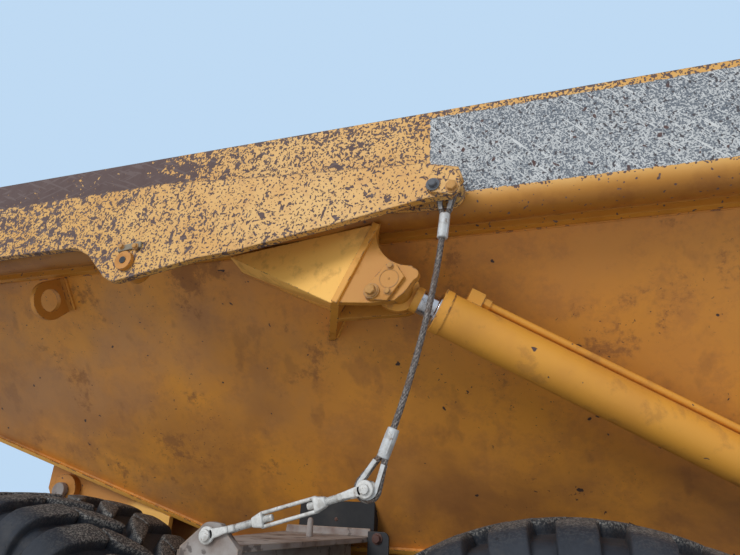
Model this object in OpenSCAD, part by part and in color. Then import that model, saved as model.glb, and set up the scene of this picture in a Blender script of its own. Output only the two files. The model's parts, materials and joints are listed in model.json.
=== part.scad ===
// Rear dump unit of a six-wheeled construction dumper: chassis, tandem axles,
// hollow tipping body, tailgate on side arms, telescopic hoists and gate ropes.
// X points forward, Y to the left, Z up from the ground. Millimetres.

/* [Wheels] */
// Height of an axle above the ground, to the flat of the tread lugs
tyre_r = 800; // [770:1:830]
// Width of a tyre
tyre_w = 600; // [540:1:620]
// Depth of the tread lugs
lug_depth = 36; // [20:1:50]
// Lugs in one row of the tread
lug_count = 20; // [16:1:24]
// Radius of the tyre's bead seat on the rim
bead_r = 318; // [300:1:330]
// Distance between the two axles
axle_gap = 1700; // [1690:1:1800]
// Distance from the centre line to the middle of a tyre
track_half = 1175; // [1160:1:1200]

/* [Chassis] */
// Height of the underside of the frame rails
rail_low_z = 980; // [960:1:1000]
// Height of a frame rail
rail_h = 360; // [320:1:370]
// Inner face of a frame rail from the centre line
rail_in = 340; // [300:1:350]
// Width of a frame rail
rail_w = 130; // [110:1:140]
// Rear end of the frame rails
frame_rear_x = -1550; // [-1560:1:-1500]
// Place where the frame starts to narrow
taper_x = 2150; // [2100:1:2200]
// Front end of the frame rails
frame_front_x = 2850; // [2800:1:2900]
// Radius of the bore of the hitch bearing
hitch_bore_r = 150; // [120:1:160]
// Outer radius of the hitch bearing housing
hitch_r = 235; // [210:1:240]
// Length of the hitch bearing housing
hitch_len = 300; // [250:1:350]
// Radius of an axle housing
axle_r = 110; // [90:1:120]
// Radius of a wheel spindle
spindle_r = 70; // [60:1:80]
// Top of the outrigger plates that brace the frame at the sides
outrigger_z = 1500; // [1490:1:1505]

/* [Body] */
// Underside of the body's floor
floor_z = 1440; // [1435:1:1450]
// Half the width of the flat floor
floor_half = 500; // [480:1:520]
// Thickness of the floor and chute plate
floor_t = 16; // [12:1:20]
// Thickness of the side panels, measured across the plate
side_t = 14; // [10:1:20]
// Rise of a side panel for each unit outwards
side_slope = 1.28; // [1.25:0.01:1.3]
// How far the floor plate's edge stands out past the side panels
edge_out = 25; // [10:1:40]
// Place where the floor turns up into the chute
knee_x = -500; // [-520:1:-480]
// Rise of the chute for each unit rearwards
chute_slope = 0.337; // [0.32:0.001:0.35]
// Height of the top face of the body's top rails
top_z = 2712; // [2700:1:2750]
// Outer face of the top rails from the centre line
top_out = 1420; // [1415:1:1422]
// Height of the ledge where a top rail meets its side panel
ledge_z = 2380; // [2370:1:2390]
// Height where the top rail's outer face starts to bend in
bend_z = 2420; // [2415:1:2440]
// Outer radius of that bend
bend_r = 60; // [50:1:65]
// Thickness of the top rail's plate
top_t = 12; // [8:1:14]
// Foot of the front wall at the floor's underside
front_x = 2560; // [2500:1:2600]
// Forward lean of the front wall, in degrees
front_lean = 11; // [5:1:15]
// Thickness of the front wall
front_t = 14; // [10:1:20]
// Top of the spill guard
guard_z = 2990; // [2900:1:3050]

/* [Tipping] */
// Tip hinge, behind the rear axle
hinge_x = -1330; // [-1340:1:-1320]
// Height of the tip hinge
hinge_z = 1610; // [1600:1:1620]
// Radius of the tip hinge pins
hinge_pin_r = 45; // [40:1:50]
// Upper hoist pin, along the body
hoist_top_x = 418; // [400:1:430]
// Upper hoist pin, from the centre line
hoist_top_y = 1320; // [1310:1:1330]
// Upper hoist pin, height
hoist_top_z = 2181; // [2170:1:2190]
// Lower hoist pin, along the frame
hoist_low_x = 1900; // [1880:1:1920]
// Lower hoist pin, from the centre line
hoist_low_y = 698; // [690:1:710]
// Lower hoist pin, height
hoist_low_z = 1455; // [1445:1:1465]
// Outer radius of the hoist barrel
barrel_r = 64; // [60:1:68]
// Outer radius of the hoist's middle stage
stage_r = 50; // [46:1:54]
// Radius of the chrome rod
rod_r = 36.5; // [32:0.5:40]
// Distance from the upper pin to the barrel's gland
gland_gap = 127; // [125:1:135]

/* [Tailgate] */
// Pivot of the tailgate arms, along the body
gate_x = -405; // [-410:1:-400]
// Pivot of the tailgate arms, height
gate_z = 2270; // [2265:1:2275]
// Radius of the arm pivot pins
gate_pin_r = 30; // [26:1:34]
// Inner face of the tailgate arms from the centre line
arm_in = 1485; // [1480:1:1490]
// Thickness of an arm
arm_t = 25; // [16:1:30]
// Inner radius of the tailgate's curved panel about its pivot
gate_r = 2019; // [2015:1:2035]
// Thickness of the tailgate's panel
gate_t = 14; // [10:1:20]
// Half the angle that the tailgate's panel spans, in degrees
gate_half = 10; // [8:1:11]

/* [Gate ropes] */
// Upper rope pin in the arm, along the body
rope_x = 590; // [580:1:600]
// Upper rope pin in the arm, height
rope_z = 2411; // [2405:1:2415]
// Anchor pin on the outrigger, along the frame
anchor_x = 0; // [-10:1:10]
// Anchor pin on the outrigger, height
anchor_z = 1521; // [1515:1:1525]
// Joint of turnbuckle and rope, along the frame
link_x = 397; // [390:1:405]
// Joint of turnbuckle and rope, height
link_z = 1637; // [1630:1:1645]
// Middle of the rope's plane from the centre line
rope_y = 1463.5; // [1463:0.5:1464]
// Diameter of the rope
rope_d = 17; // [14:0.5:20]
// How far the rope bows forward between its ferrules
rope_bow = 20; // [10:1:30]

/* [Hidden] */
$fn = 48;

// Clearances: fixed seats, turning pins and pieces that pass each other
seat = 0.3;
run = 0.3;
pass = 6;
far = 6000;

paint = [0.86, 0.62, 0.16];
worn = [0.62, 0.47, 0.22];
dark = [0.27, 0.24, 0.21];
rust = [0.52, 0.36, 0.22];
steel = [0.66, 0.66, 0.65];
black = [0.08, 0.08, 0.09];

// Derived places
axle_x = axle_gap / 2;
rail_top_z = rail_low_z + rail_h;
rail_out = rail_in + rail_w;
tyre_in = track_half - tyre_w / 2;
hitch_z = rail_low_z + rail_h / 2;
lean_top = (guard_z - floor_z) * tan(front_lean);
tail_x = gate_x - gate_r;
front_end = max(frame_front_x + hitch_len, front_x + lean_top);
gate_rib = 60;
rear_end = tail_x - gate_t - gate_rib;
origin_x = (front_end + rear_end) / 2;
top_in = side_y(ledge_z) - side_across();
bend_y = top_out - bend_r;

// A side panel is a slanted plate: its outer face at a height, and its width across Y
function side_y(z) = floor_half + (z - floor_z) / side_slope;
function side_across() = side_t * sqrt(1 + pow(1 / side_slope, 2));
// Underside of the floor and chute at a place along the body
function chute_z(x) = floor_z + max(0, knee_x - x) * chute_slope;
function span(a, b) = norm(b - a);
function on_circle(r, a) = [r * cos(a), r * sin(a)];

// Placement helpers
module on_ground() translate([-origin_x, 0, 0]) children();
module on_side(side) mirror([0, side == "right" ? 1 : 0, 0]) children();
module both_sides() { children(); mirror([0, 1, 0]) children(); }
// Draws an outline of (Y, Z) points along X, and one of (X, Z) points along Y
module along_x(x0, x1) translate([x0, 0, 0]) rotate([90, 0, 90]) linear_extrude(x1 - x0) children();
module along_y(y0, y1) translate([0, y1, 0]) rotate([90, 0, 0]) linear_extrude(y1 - y0) children();
// A shaft along Y at a place (X, Z), and one between two points
module shaft_y(x, z, r, y0, y1, sides = $fn) translate([x, y0, z]) rotate([-90, 0, 0])
    cylinder(r = r, h = y1 - y0, $fn = sides);
module aim(p, q) translate(p)
    rotate([0, acos((q.z - p.z) / span(p, q)), atan2(q.y - p.y, q.x - p.x)]) children();

// WHEELS

// Tyre section as (radius, width from the middle): a hollow shell with open beads
module tyre_section() {
    tread_r = tyre_r - lug_depth;
    half = tyre_w / 2;
    wall = 32;
    outer = [[bead_r, 0.74], [bead_r + 60, 0.86], [tyre_r * 0.66, 1], [tyre_r * 0.82, 0.99],
        [tread_r - 42, 0.93], [tread_r - 4, 0.78]];
    inner = [[tread_r - 62, 0.72], [tyre_r * 0.72, 0.9], [bead_r + 50, 0.72], [bead_r, 0.62]];
    polygon(concat([for (p = outer) [p[0], p[1] * half]],
        [for (i = [len(outer) - 1:-1:0]) [outer[i][0], -outer[i][1] * half]],
        [for (i = [len(inner) - 1:-1:0]) [inner[i][0], -inner[i][1] * (half - wall) * 0.98]],
        [for (p = inner) [p[0], p[1] * (half - wall) * 0.98]]));
}

// One tread lug, slanted across half of the tread; its outer corners lie at the tyre's radius
module lug(hand) {
    half = tyre_w / 2;
    lug_len = tyre_r * 2 * PI / lug_count * 0.44;
    skew = lug_len * 0.55;
    low = tyre_r - lug_depth - 30;
    flat = sqrt(pow(tyre_r, 2) - pow(lug_len / 2 + skew, 2));
    translate([0, 0, low]) linear_extrude(flat - low)
        polygon([[-lug_len / 2 + skew, hand * 12], [lug_len / 2 + skew, hand * 12],
            [lug_len / 2 - skew * 0.4, hand * half * 0.93], [-lug_len / 2 - skew * 0.4, hand * half * 0.93]]);
}

module tyre(x, side) color(black) on_ground() on_side(side)
    translate([x, track_half, tyre_r]) {
        rotate([-90, 0, 0]) rotate_extrude($fn = 36) tyre_section();
        for (i = [0:lug_count - 1], hand = [-1, 1])
            rotate([0, 180 + (i + (hand > 0 ? 0 : 0.5)) * 360 / lug_count, 0]) lug(hand);
    }

// Rim with its dished disc and the hub, turning on the spindle
module rim(x, side) color(paint) on_ground() on_side(side)
    translate([x, track_half, tyre_r]) rotate([-90, 0, 0]) rotate_extrude() {
        half = tyre_w / 2;
        bead = half * 0.74 + seat;
        lip = bead_r + 26;
        flare = 17;
        lip_t = 16;
        disc = 40;
        hub_r = 190;
        inner = bead_r - 34;
        outer = bead_r - 20;
        polygon([[spindle_r + run, -half + 30], [hub_r, -half + 30], [hub_r, disc], [inner, disc + 30],
            [inner, -bead - 4], [lip, -bead - flare - lip_t], [lip, -bead - flare], [bead_r - run, -bead],
            [bead_r - run, bead], [lip, bead + flare], [lip, bead + flare + lip_t], [outer, bead + 10],
            [outer, disc + 70], [hub_r + 30, disc + 30], [hub_r - 20, disc + 50],
            [hub_r - 40, half - 60], [hub_r - 90, half - 30], [0, half - 30], [0, half - 60],
            [spindle_r + run, half - 60]]);
    }

// CHASSIS

// Frame rails with cross members, hinge towers, the bogie tube and rod brackets
bogie_tube_r = 90;
bogie_z = rail_low_z + 120;
beam_in = rail_out + 90;
beam_w = 140;
rod_low_z = 860;
rod_x = 180;
rod_eye_r = 50;
rod_eye_w = 80;
module rail_plan() polygon([[frame_rear_x, rail_in], [taper_x, rail_in], [frame_front_x, rail_in - 190],
    [frame_front_x, rail_out - 190], [taper_x, rail_out], [frame_rear_x, rail_out]]);
module frame_rails() color(dark) on_ground() {
    both_sides() {
        translate([0, 0, rail_low_z]) linear_extrude(rail_h) rail_plan();
        // Hinge tower
        difference() {
            along_y(rail_in, rail_out) polygon([[frame_rear_x, rail_top_z - 1], [hinge_x + 190, rail_top_z - 1],
                [hinge_x + 75, hinge_z + 45], [hinge_x + 40, hinge_z + 80], [hinge_x - 40, hinge_z + 80],
                [hinge_x - 75, hinge_z + 45], [frame_rear_x, hinge_z - 130]]);
            shaft_y(hinge_x, hinge_z, hinge_pin_r + run, rail_in - 1, rail_out + 1);
        }
        // Bracket for the torque rods under the rail
        for (y = [rail_in, rail_out - 25]) along_y(y, y + 25)
            polygon([[-rod_x - 70, rail_low_z + 1], [rod_x + 70, rail_low_z + 1],
                [rod_x + 40, rod_low_z - 50], [-rod_x - 40, rod_low_z - 50]]);
    }
    // Cross members
    for (m = [[frame_rear_x, 40, 40], [hinge_x + 330, 30, 60], [taper_x - 20, 40, 40], [frame_front_x - 60, 60, 0]])
        translate([m[0], -rail_in - 1, rail_low_z + m[2]]) cube([m[1], rail_in * 2 + 2, rail_h - m[2] * 2]);
    shaft_y(0, bogie_z, bogie_tube_r, -beam_in - beam_w - 20, beam_in + beam_w + 20);
}

// Bearing housing of the articulation hitch, open along X, with its flange's bolt holes
hitch_bolts = 12;
hitch_bolt_r = 11;
module hitch_housing() color(dark) on_ground() {
    web = rail_out - 190;
    difference() {
        union() {
            translate([frame_front_x, 0, hitch_z]) rotate([0, 90, 0]) cylinder(r = hitch_r, h = hitch_len);
            translate([frame_front_x + hitch_len - 40, 0, hitch_z]) rotate([0, 90, 0])
                cylinder(r = hitch_r + 45, h = 40);
            translate([frame_front_x, -web, rail_low_z]) cube([40, web * 2, rail_h]);
        }
        translate([frame_front_x - 1, 0, hitch_z]) rotate([0, 90, 0])
            cylinder(r = hitch_bore_r, h = hitch_len + 2);
        for (i = [0:hitch_bolts - 1]) translate([frame_front_x + hitch_len - 41, 0, hitch_z])
            rotate([i * 360 / hitch_bolts, 0, 0]) translate([0, 0, hitch_r + 20]) rotate([0, 90, 0])
                cylinder(r = hitch_bolt_r, h = 42);
    }
}

// Side outrigger: horizontal top plate on a tapered box, with the rope's anchor lug
anchor_t = 20;
anchor_y = rope_y - anchor_t / 2;
anchor_pin_r = 12;
plate_t = 16;
module outrigger(side) color(rust) on_ground() on_side(side) {
    low = outrigger_z - plate_t;
    shelf_in = side_y(outrigger_z) + 40;
    translate([0, 0, low]) linear_extrude(plate_t) polygon([[60, anchor_y], [-78, anchor_y], [-150, 1150],
        [-225, shelf_in], [160, shelf_in], [150, 700]]);
    // Tapered webs from the rail out to the lug
    root = rail_top_z - 60;
    for (x = [-95, 35]) along_x(x, x + plate_t) polygon([[rail_out, root], [anchor_y, low - 110],
        [anchor_y, low], [shelf_in, low], [shelf_in, rail_top_z], [rail_out, rail_top_z]]);
    along_x(-95, 35 + plate_t) polygon([[rail_out, root], [anchor_y, low - 110],
        [anchor_y, low - 110 + plate_t], [rail_out, root + plate_t]]);
    // Anchor lug with its pin
    difference() {
        along_y(anchor_y, anchor_y + anchor_t) union() {
            translate([anchor_x, anchor_z]) circle(r = 30);
            polygon([[anchor_x - 78, low - 110], [anchor_x + 86, low - 110], [anchor_x + 86, 1494],
                [anchor_x + 51, 1527], [anchor_x + 30, 1548], [anchor_x, 1551], [anchor_x - 24, 1538],
                [anchor_x - 76, 1493]]);
        }
        shaft_y(anchor_x, anchor_z, anchor_pin_r + run, anchor_y - 1, anchor_y + anchor_t + 1);
    }
}

// Rubber rests under the body: one on each outrigger
pad_in = side_y(outrigger_z) + 46;
pad_out = pad_in + 45;
module body_pads() color(black) on_ground() both_sides()
    along_x(-145, 155) polygon([[pad_in, outrigger_z], [pad_out, outrigger_z],
        [pad_out, side_pad_z(pad_out)], [pad_in, side_pad_z(pad_in)]]);
function side_pad_z(y) = floor_z + (y - floor_half) * side_slope - seat * 2;

// Lower hoist mount on the frame: a shelf, a tall outer plate and a low inner saddle
mount_half = 70;
mount_plate = 25;
mount_r = 62;
mount_x0 = hoist_low_x - 110;
mount_x1 = hoist_low_x + 110;
module hoist_mount(side) color(dark) on_ground() on_side(side) {
    shelf_z = hoist_low_z - 130;
    outer_y = hoist_low_y + mount_half + pass;
    inner_y = hoist_low_y - mount_half - pass;
    along_x(mount_x0, mount_x1) polygon([[rail_out, rail_low_z + 40], [rail_out, shelf_z],
        [outer_y + mount_plate, shelf_z], [outer_y + mount_plate, shelf_z - 60]]);
    along_y(outer_y, outer_y + mount_plate) union() {
        translate([hoist_low_x, hoist_low_z]) circle(r = mount_r);
        polygon([[hoist_low_x - mount_r - 8, shelf_z - 1], [mount_x1, shelf_z - 1],
            [hoist_low_x + mount_r - 1, hoist_low_z], [hoist_low_x - mount_r + 1, hoist_low_z]]);
    }
    along_y(inner_y - mount_plate, inner_y)
        polygon([[mount_x0, shelf_z - 1], [mount_x1, shelf_z - 1], [mount_x1 - 30, hoist_low_z - 60],
            [mount_x0 + 30, hoist_low_z - 60]]);
    shaft_y(hoist_low_x, hoist_low_z, 45, outer_y + mount_plate - 1, outer_y + mount_plate + 14);
}

// Axle with its differential, spring saddles, rod lugs and spindles
saddle_top = tyre_r + 185;
rod_axle_z = tyre_r - 170;
module axle(x) color(dark) on_ground() translate([x, 0, 0]) {
    inner = x > 0 ? -1 : 1;
    shaft_y(0, tyre_r, axle_r, -tyre_in + 30, tyre_in - 30);
    translate([0, 0, tyre_r]) sphere(r = 250);
    translate([0, 0, tyre_r]) rotate([0, 90, 0]) cylinder(r = 130, h = 520, center = true);
    both_sides() {
        shaft_y(0, tyre_r, spindle_r, tyre_in - 31, track_half + tyre_w / 2 - 62);
        shaft_y(0, tyre_r, 215, tyre_in - 60, tyre_in + 24);
        translate([-90, beam_in, tyre_r]) cube([180, beam_w, saddle_top - tyre_r]);
        for (y = [rail_in, rail_out - 25]) along_y(y, y + 25)
            polygon([[-70, tyre_r], [70, tyre_r], [inner * 60 + 50, rod_axle_z - 55],
                [inner * 60 - 50, rod_axle_z - 55]]);
    }
}

// Walking beams on the bogie tube, and the rubber springs under their ends
beam_low = saddle_top + 50;
module bogie_beams() color(dark) on_ground() both_sides() difference() {
    along_y(beam_in, beam_in + beam_w) union() {
        translate([0, bogie_z]) circle(r = 165);
        polygon([[-axle_x - 100, beam_low], [-axle_x + 110, beam_low], [-150, bogie_z - 130],
            [150, bogie_z - 130], [axle_x - 110, beam_low], [axle_x + 100, beam_low],
            [axle_x + 100, beam_low + 60], [axle_x - 60, beam_low + 110], [120, bogie_z + 130],
            [-120, bogie_z + 130], [-axle_x + 60, beam_low + 110], [-axle_x - 100, beam_low + 60]]);
    }
    shaft_y(0, bogie_z, bogie_tube_r + run, beam_in - 1, beam_in + beam_w + 1);
}
module bogie_springs() color(black) on_ground() both_sides() for (x = [-axle_x, axle_x])
    translate([x, beam_in + beam_w / 2, saddle_top]) cylinder(r = 66, h = beam_low - saddle_top);

// Torque rods between the axle lugs and the frame brackets
module torque_rods() color(dark) on_ground() both_sides() for (s = [-1, 1]) {
    y = (rail_in + rail_out) / 2;
    frame_end = [s * rod_x, y, rod_low_z];
    axle_end = [s * (axle_x - 60), y, rod_axle_z];
    eye = rail_w - 50;
    for (e = [frame_end, axle_end]) shaft_y(e.x, e.z, rod_eye_r, y - eye / 2, y + eye / 2);
    aim(frame_end, axle_end) cylinder(r = 28, h = span(frame_end, axle_end));
}

// Drive shafts from the hitch to the middle axle and on to the rear one
module drive_shafts() color(dark) on_ground() {
    gap = 520 / 2;
    for (p = [[axle_x + gap, frame_front_x - 60], [-axle_x + gap, axle_x - gap]])
        translate([p[0], 0, tyre_r]) rotate([0, 90, 0]) {
            cylinder(r = 45, h = p[1] - p[0]);
            cylinder(r = 90, h = 30);
            translate([0, 0, p[1] - p[0] - 30]) cylinder(r = 90, h = 30);
        }
}

// Rear lamp bar across the end of the frame
lamp_w = 150;
bar_half = 760;
module lamp_bar() color(dark) on_ground()
    translate([frame_rear_x - 20, -bar_half, rail_low_z + 90]) cube([20, bar_half * 2, 160]);
module tail_lamps() color([0.6, 0.1, 0.08]) on_ground() both_sides() for (y = [bar_half - 170, bar_half - 330])
    translate([frame_rear_x - 20 - 45, y, rail_low_z + 110]) cube([45, lamp_w, 120]);

// BODY

// Cuts that bound the body: below the chute, in front of the wall and behind the tail
module below_chute(lift) translate([knee_x, -far / 2, floor_z + lift])
    rotate([0, atan(chute_slope), 0]) translate([-far, 0, -far / 2]) cube([far, far, far / 2]);
module front_frame() translate([front_x, 0, floor_z]) rotate([0, front_lean, 0]) children();
module past_front() front_frame() translate([front_t, -far / 2, -far / 4]) cube([far / 2, far, far]);
module past_tail() difference() {
    translate([tail_x - far / 4, -far / 2, floor_z]) cube([far / 4 + gate_r / 4, far, far / 2]);
    shaft_y(gate_x, gate_z, gate_r - 12, -far / 2, far / 2, 720);
}
module trim_body() difference() {
    children();
    past_front();
    past_tail();
}

// Floor and chute in one bent plate whose edge stands out past the panels
module v_inside(out) along_x(tail_x - 50, front_x + lean_top + 50)
    polygon([[-side_y(floor_z - 40) - out, floor_z - 40], [side_y(floor_z - 40) + out, floor_z - 40],
        [side_y(top_z) + out, top_z], [-side_y(top_z) - out, top_z]]);
module body_floor() color(worn) on_ground() trim_body() intersection() {
    v_inside(edge_out);
    union() {
        translate([knee_x, -far / 2, floor_z]) cube([far, far, floor_t]);
        difference() {
            translate([knee_x, -far / 2, floor_z]) rotate([0, atan(chute_slope), 0])
                translate([-far / 2, 0, 0]) cube([far / 2, far, floor_t]);
            translate([knee_x, -far / 2, floor_z - 1]) cube([far, far, far / 2]);
        }
    }
}

module body_side(side) color(worn) on_ground() on_side(side) trim_body() difference() {
    low = floor_z + floor_t + seat;
    along_x(tail_x - 50, front_x + lean_top + 50)
        polygon([[side_y(low), low], [side_y(ledge_z), ledge_z], [side_y(ledge_z) - side_across(), ledge_z],
            [side_y(low) - side_across(), low]]);
    below_chute(floor_t / cos(atan(chute_slope)) + seat);
}

// Top rail: a bent box that folds back up to a lip on the side panel, open at the front end
lip_h = 22;
ledge_y = side_y(ledge_z) + 28;
lip_top = ledge_z + lip_h;
bend_steps = 8;
// The bend about its centre at a radius, from where the fold to the lip leaves it
bend_from = atan2(lip_top - bend_z, ledge_y - bend_y) + acos(bend_r / norm([ledge_y - bend_y, lip_top - bend_z]));
function bend(r) = [for (i = [0:bend_steps]) [bend_y, bend_z] + on_circle(r, bend_from * (1 - i / bend_steps))];
module top_rail(side) color(paint) on_ground() on_side(side) trim_body() difference() {
    fold = tan(bend_from + 90);
    inner = top_in + top_t;
    inner_bend = bend(bend_r - top_t);
    along_x(tail_x - 50, front_x + lean_top + 50)
        polygon(concat([[top_in, ledge_z], [ledge_y, ledge_z], [ledge_y, lip_top]], bend(bend_r),
            [[top_out, top_z], [top_in, top_z]]));
    along_x(tail_x + 60, far) polygon(concat([[inner, inner_bend[0].y + (inner - inner_bend[0].x) * fold]],
        inner_bend, [[top_out - top_t, top_z - top_t], [inner, top_z - top_t]]));
}
// Lowest line of the top rails, where the brackets under them end
under_top = bend_z - bend_r - seat;

// Front wall between the panels, with its spill guard and ribs
module front_wall() color(worn) on_ground() intersection() {
    union() {
        front_frame() translate([0, -far / 2, 0]) cube([front_t, far, guard_z]);
        for (h = [330, 660, 990, 1290]) front_frame() translate([front_t, -far / 2, h]) cube([60, far, 90]);
    }
    along_x(front_x - 100, front_x + lean_top + 200)
        polygon(concat([for (p = wall_outline()) p],
            [for (i = [len(wall_outline()) - 1:-1:0]) [-wall_outline()[i].x, wall_outline()[i].y]]));
}
function wall_outline() = let (low = floor_z + floor_t, in = side_across() + seat) [[side_y(low) - in, low],
    [side_y(ledge_z) - in, ledge_z], [top_in - seat, top_z], [top_in - 30, guard_z - 120],
    [top_in - 200, guard_z]];

// Sills under the floor that lie over the frame rails
sill_h = 90;
sill_rear_x = hinge_x + 330;
module body_sills() color(worn) on_ground() both_sides()
    along_y(rail_in, rail_out) polygon([[sill_rear_x, floor_z - sill_h], [front_x - 120, floor_z - sill_h],
        [front_x - 60, floor_z - seat], [knee_x, floor_z - seat], [sill_rear_x, chute_z(sill_rear_x) - seat]]);

// Hinge plates under the chute, each with its boss and pin
plate_out = rail_out + 130;
hinge_plate_t = 26;
module hinge_plates() color(paint) on_ground() both_sides() {
    reach = 330;
    // Outer plate, and the link to the sill
    for (y = [plate_out - hinge_plate_t, rail_in - 40]) along_y(y, y + (y > rail_in ? hinge_plate_t : 30)) union() {
        translate([hinge_x, hinge_z]) circle(r = 98);
        polygon([[hinge_x - 120, hinge_z + 10], [hinge_x - 40, hinge_z - 100], [hinge_x + 60, hinge_z - 100],
            [hinge_x + reach, floor_z - sill_h + 20], [hinge_x + reach + 240, floor_z - sill_h + 20],
            [hinge_x + reach + 240, chute_z(hinge_x + reach + 240) - seat],
            [hinge_x - 120, chute_z(hinge_x - 120) - seat]]);
    }
    shaft_y(hinge_x, hinge_z, 80, rail_out + pass, plate_out - 1);
    shaft_y(hinge_x, hinge_z, hinge_pin_r, rail_in - 50, plate_out + 1);
    shaft_y(hinge_x, hinge_z, 70, plate_out - 1, plate_out + 34);
    along_x(hinge_x + reach + 10, hinge_x + reach + 230) polygon([[rail_out, floor_z - sill_h + 20],
        [plate_out - 1, floor_z - sill_h + 20], [plate_out - 1, floor_z - 20], [rail_out, floor_z - 20]]);
}

// Upper hoist bracket: an end plate square to the hoist, two lugs with the pin and its
// keeper before it, and a fairing that narrows to the rear behind it
lug_out = hoist_top_y + 82;
lug_in = hoist_top_y - 62;
lug_t = 24;
hoist_pin_r = 30;
plate_back = -152;
plate_front = -130;
foot_z = hoist_top_z - 54;
keeper_t = 12;
// A slab square to the hoist between two distances from the upper pin
module across_hoist(s0, s1) hoist_line() translate([-far / 2, -far / 2, s0]) cube([far, far, s1 - s0]);
module plate_section(low) along_x(-far / 4, far / 4) polygon([[side_y(low) + seat, low], [lug_out, foot_z],
    [lug_out, under_top], [side_y(under_top) + seat, under_top]]);
module outer_lug() difference() {
    sweep_r = 112;
    translate([hoist_top_x, hoist_top_z]) union() {
        polygon([[-85, under_top - hoist_top_z], [-46, under_top - hoist_top_z], [66, 31], [80, 13], [40, -40],
            [13, -60], [-50, -63], [-158, -54]]);
        translate([62, 13]) circle(r = 18);
    }
    translate([hoist_top_x + 66, hoist_top_z + 150]) circle(r = sweep_r);
}
module inner_lug() translate([hoist_top_x, hoist_top_z]) union() {
    circle(r = 52);
    polygon([[-175, 60], [-20, 48], [0, -52], [-232, -54]]);
}
module keeper() translate([hoist_top_x, hoist_top_z]) union() {
    translate([-48, -34]) circle(r = 24);
    polygon([[-66, -18], [-8, 45], [18, 43], [43, 3], [-5, -63], [-48, -58]]);
}
module hoist_bracket(side) color(paint) on_ground() on_side(side) {
    difference() {
        union() {
            along_y(lug_out - lug_t, lug_out) outer_lug();
            along_y(lug_in - lug_t, lug_in) inner_lug();
        }
        across_hoist(-far / 4, plate_front - 2);
        shaft_y(hoist_top_x, hoist_top_z, hoist_pin_r, lug_in - lug_t - 1, lug_out + 1);
    }
    intersection() {
        across_hoist(plate_back, plate_front);
        plate_section(foot_z);
    }
    hull() {
        intersection() {
            across_hoist(plate_back - 1, plate_back + 1);
            plate_section(foot_z + 78);
        }
        along_x(fair_x, fair_x + 1) polygon([[side_y(under_top - 20) + seat, under_top - 20],
            [ledge_y + 30, under_top], [side_y(under_top) + seat, under_top]]);
    }
    shaft_y(hoist_top_x, hoist_top_z, hoist_pin_r - run, lug_in - lug_t - 8, lug_out + 1);
    translate(hoist_top) sphere(r = ball_r);
    along_y(lug_out, lug_out + keeper_t) keeper();
}
fair_x = hoist_top_x - 600;

// Carriers of the tailgate's pivots: a plate beside each top rail with a stiffener behind it
module arm_pivots() color(paint) on_ground() both_sides() {
    out = arm_in - pass - 6;
    back = out - 30;
    boss_r = gate_pin_r + 18;
    along_y(back, out) union() {
        translate([gate_x, gate_z]) circle(r = boss_r);
        polygon([[gate_x - boss_r + 4, gate_z - 20], [gate_x + boss_r - 4, gate_z - 20],
            [gate_x + 105, bend_z + 10], [gate_x + 105, bend_z + 105], [gate_x - 105, bend_z + 105],
            [gate_x - 105, bend_z + 10]]);
    }
    along_y(top_out + seat, back + 1) polygon([[gate_x - 100, bend_z + 8], [gate_x + 100, bend_z + 8],
        [gate_x + 100, bend_z + 100], [gate_x - 100, bend_z + 100]]);
    along_x(gate_x - 12, gate_x + 12) polygon([[back + 1, gate_z + 10], [back + 1, bend_z - 8],
        [top_out - 8, under_top + 8], [bend_y + 14, under_top], [bend_y - 10, under_top], [bend_y - 10, under_top - 20]]);
    shaft_y(gate_x, gate_z, boss_r - 6, out - 1, arm_in - pass);
    difference() {
        shaft_y(gate_x, gate_z, gate_pin_r, back + 2, arm_in + arm_t + 14);
        shaft_y(gate_x, gate_z, 8, arm_in + arm_t + 4, arm_in + arm_t + 15);
    }
}

// Lifting eyes: a ring on a foot plate that stands square on each side panel
eye_x = -980;
eye_z = 2325;
eye_hole_r = 44;
eye_r = 75;
eye_t = 18;
eye_reach = 80;
eye_foot = 66;
module square_to_panel() translate([eye_x, side_y(eye_z), eye_z]) rotate([-atan(1 / side_slope), 0, 0])
    translate([0, seat, 0]) children();
module lifting_eyes() color(paint) on_ground() both_sides() square_to_panel() {
    difference() {
        along_x(-eye_t / 2, eye_t / 2) union() {
            translate([eye_reach, 0]) circle(r = eye_r);
            polygon([[0, -eye_foot], [eye_reach, -eye_r], [eye_reach, eye_r], [0, eye_foot]]);
        }
        translate([-eye_t, eye_reach, 0]) rotate([0, 90, 0]) cylinder(r = eye_hole_r, h = eye_t * 2);
    }
    translate([-24, 0, -eye_foot]) cube([48, 12, eye_foot * 2]);
}

// TAILGATE

gate_side = arm_in - seat;
gate_posts = 5;
post_w = 44;
// Section of the panel across its width, as (radius, Y): a sheet with posts on its outer side
module gate_section() {
    out = gate_r + gate_t;
    polygon(concat([[gate_r, gate_side], [gate_r, -gate_side]],
        [for (i = [0:gate_posts - 1], p = [[0, 0], [1, 0], [1, 1], [0, 1]])
            let (y = -gate_side + i * (gate_side * 2 - post_w) / (gate_posts - 1))
            [out + p[0] * (gate_rib - 12), y + p[1] * post_w]]));
}
module gate_panel() color(worn) on_ground() translate([gate_x, 0, gate_z]) {
    rotate([90, 0, 0]) rotate([0, 0, 180 - gate_half]) rotate_extrude(angle = gate_half * 2, $fn = 180)
        gate_section();
    for (a = [-gate_half + 1, 0, gate_half - 1]) rotate([0, a, 0])
        translate([-gate_r - gate_t - gate_rib, -gate_side, -30]) cube([gate_rib + gate_t / 2, gate_side * 2, 60]);
}

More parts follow.
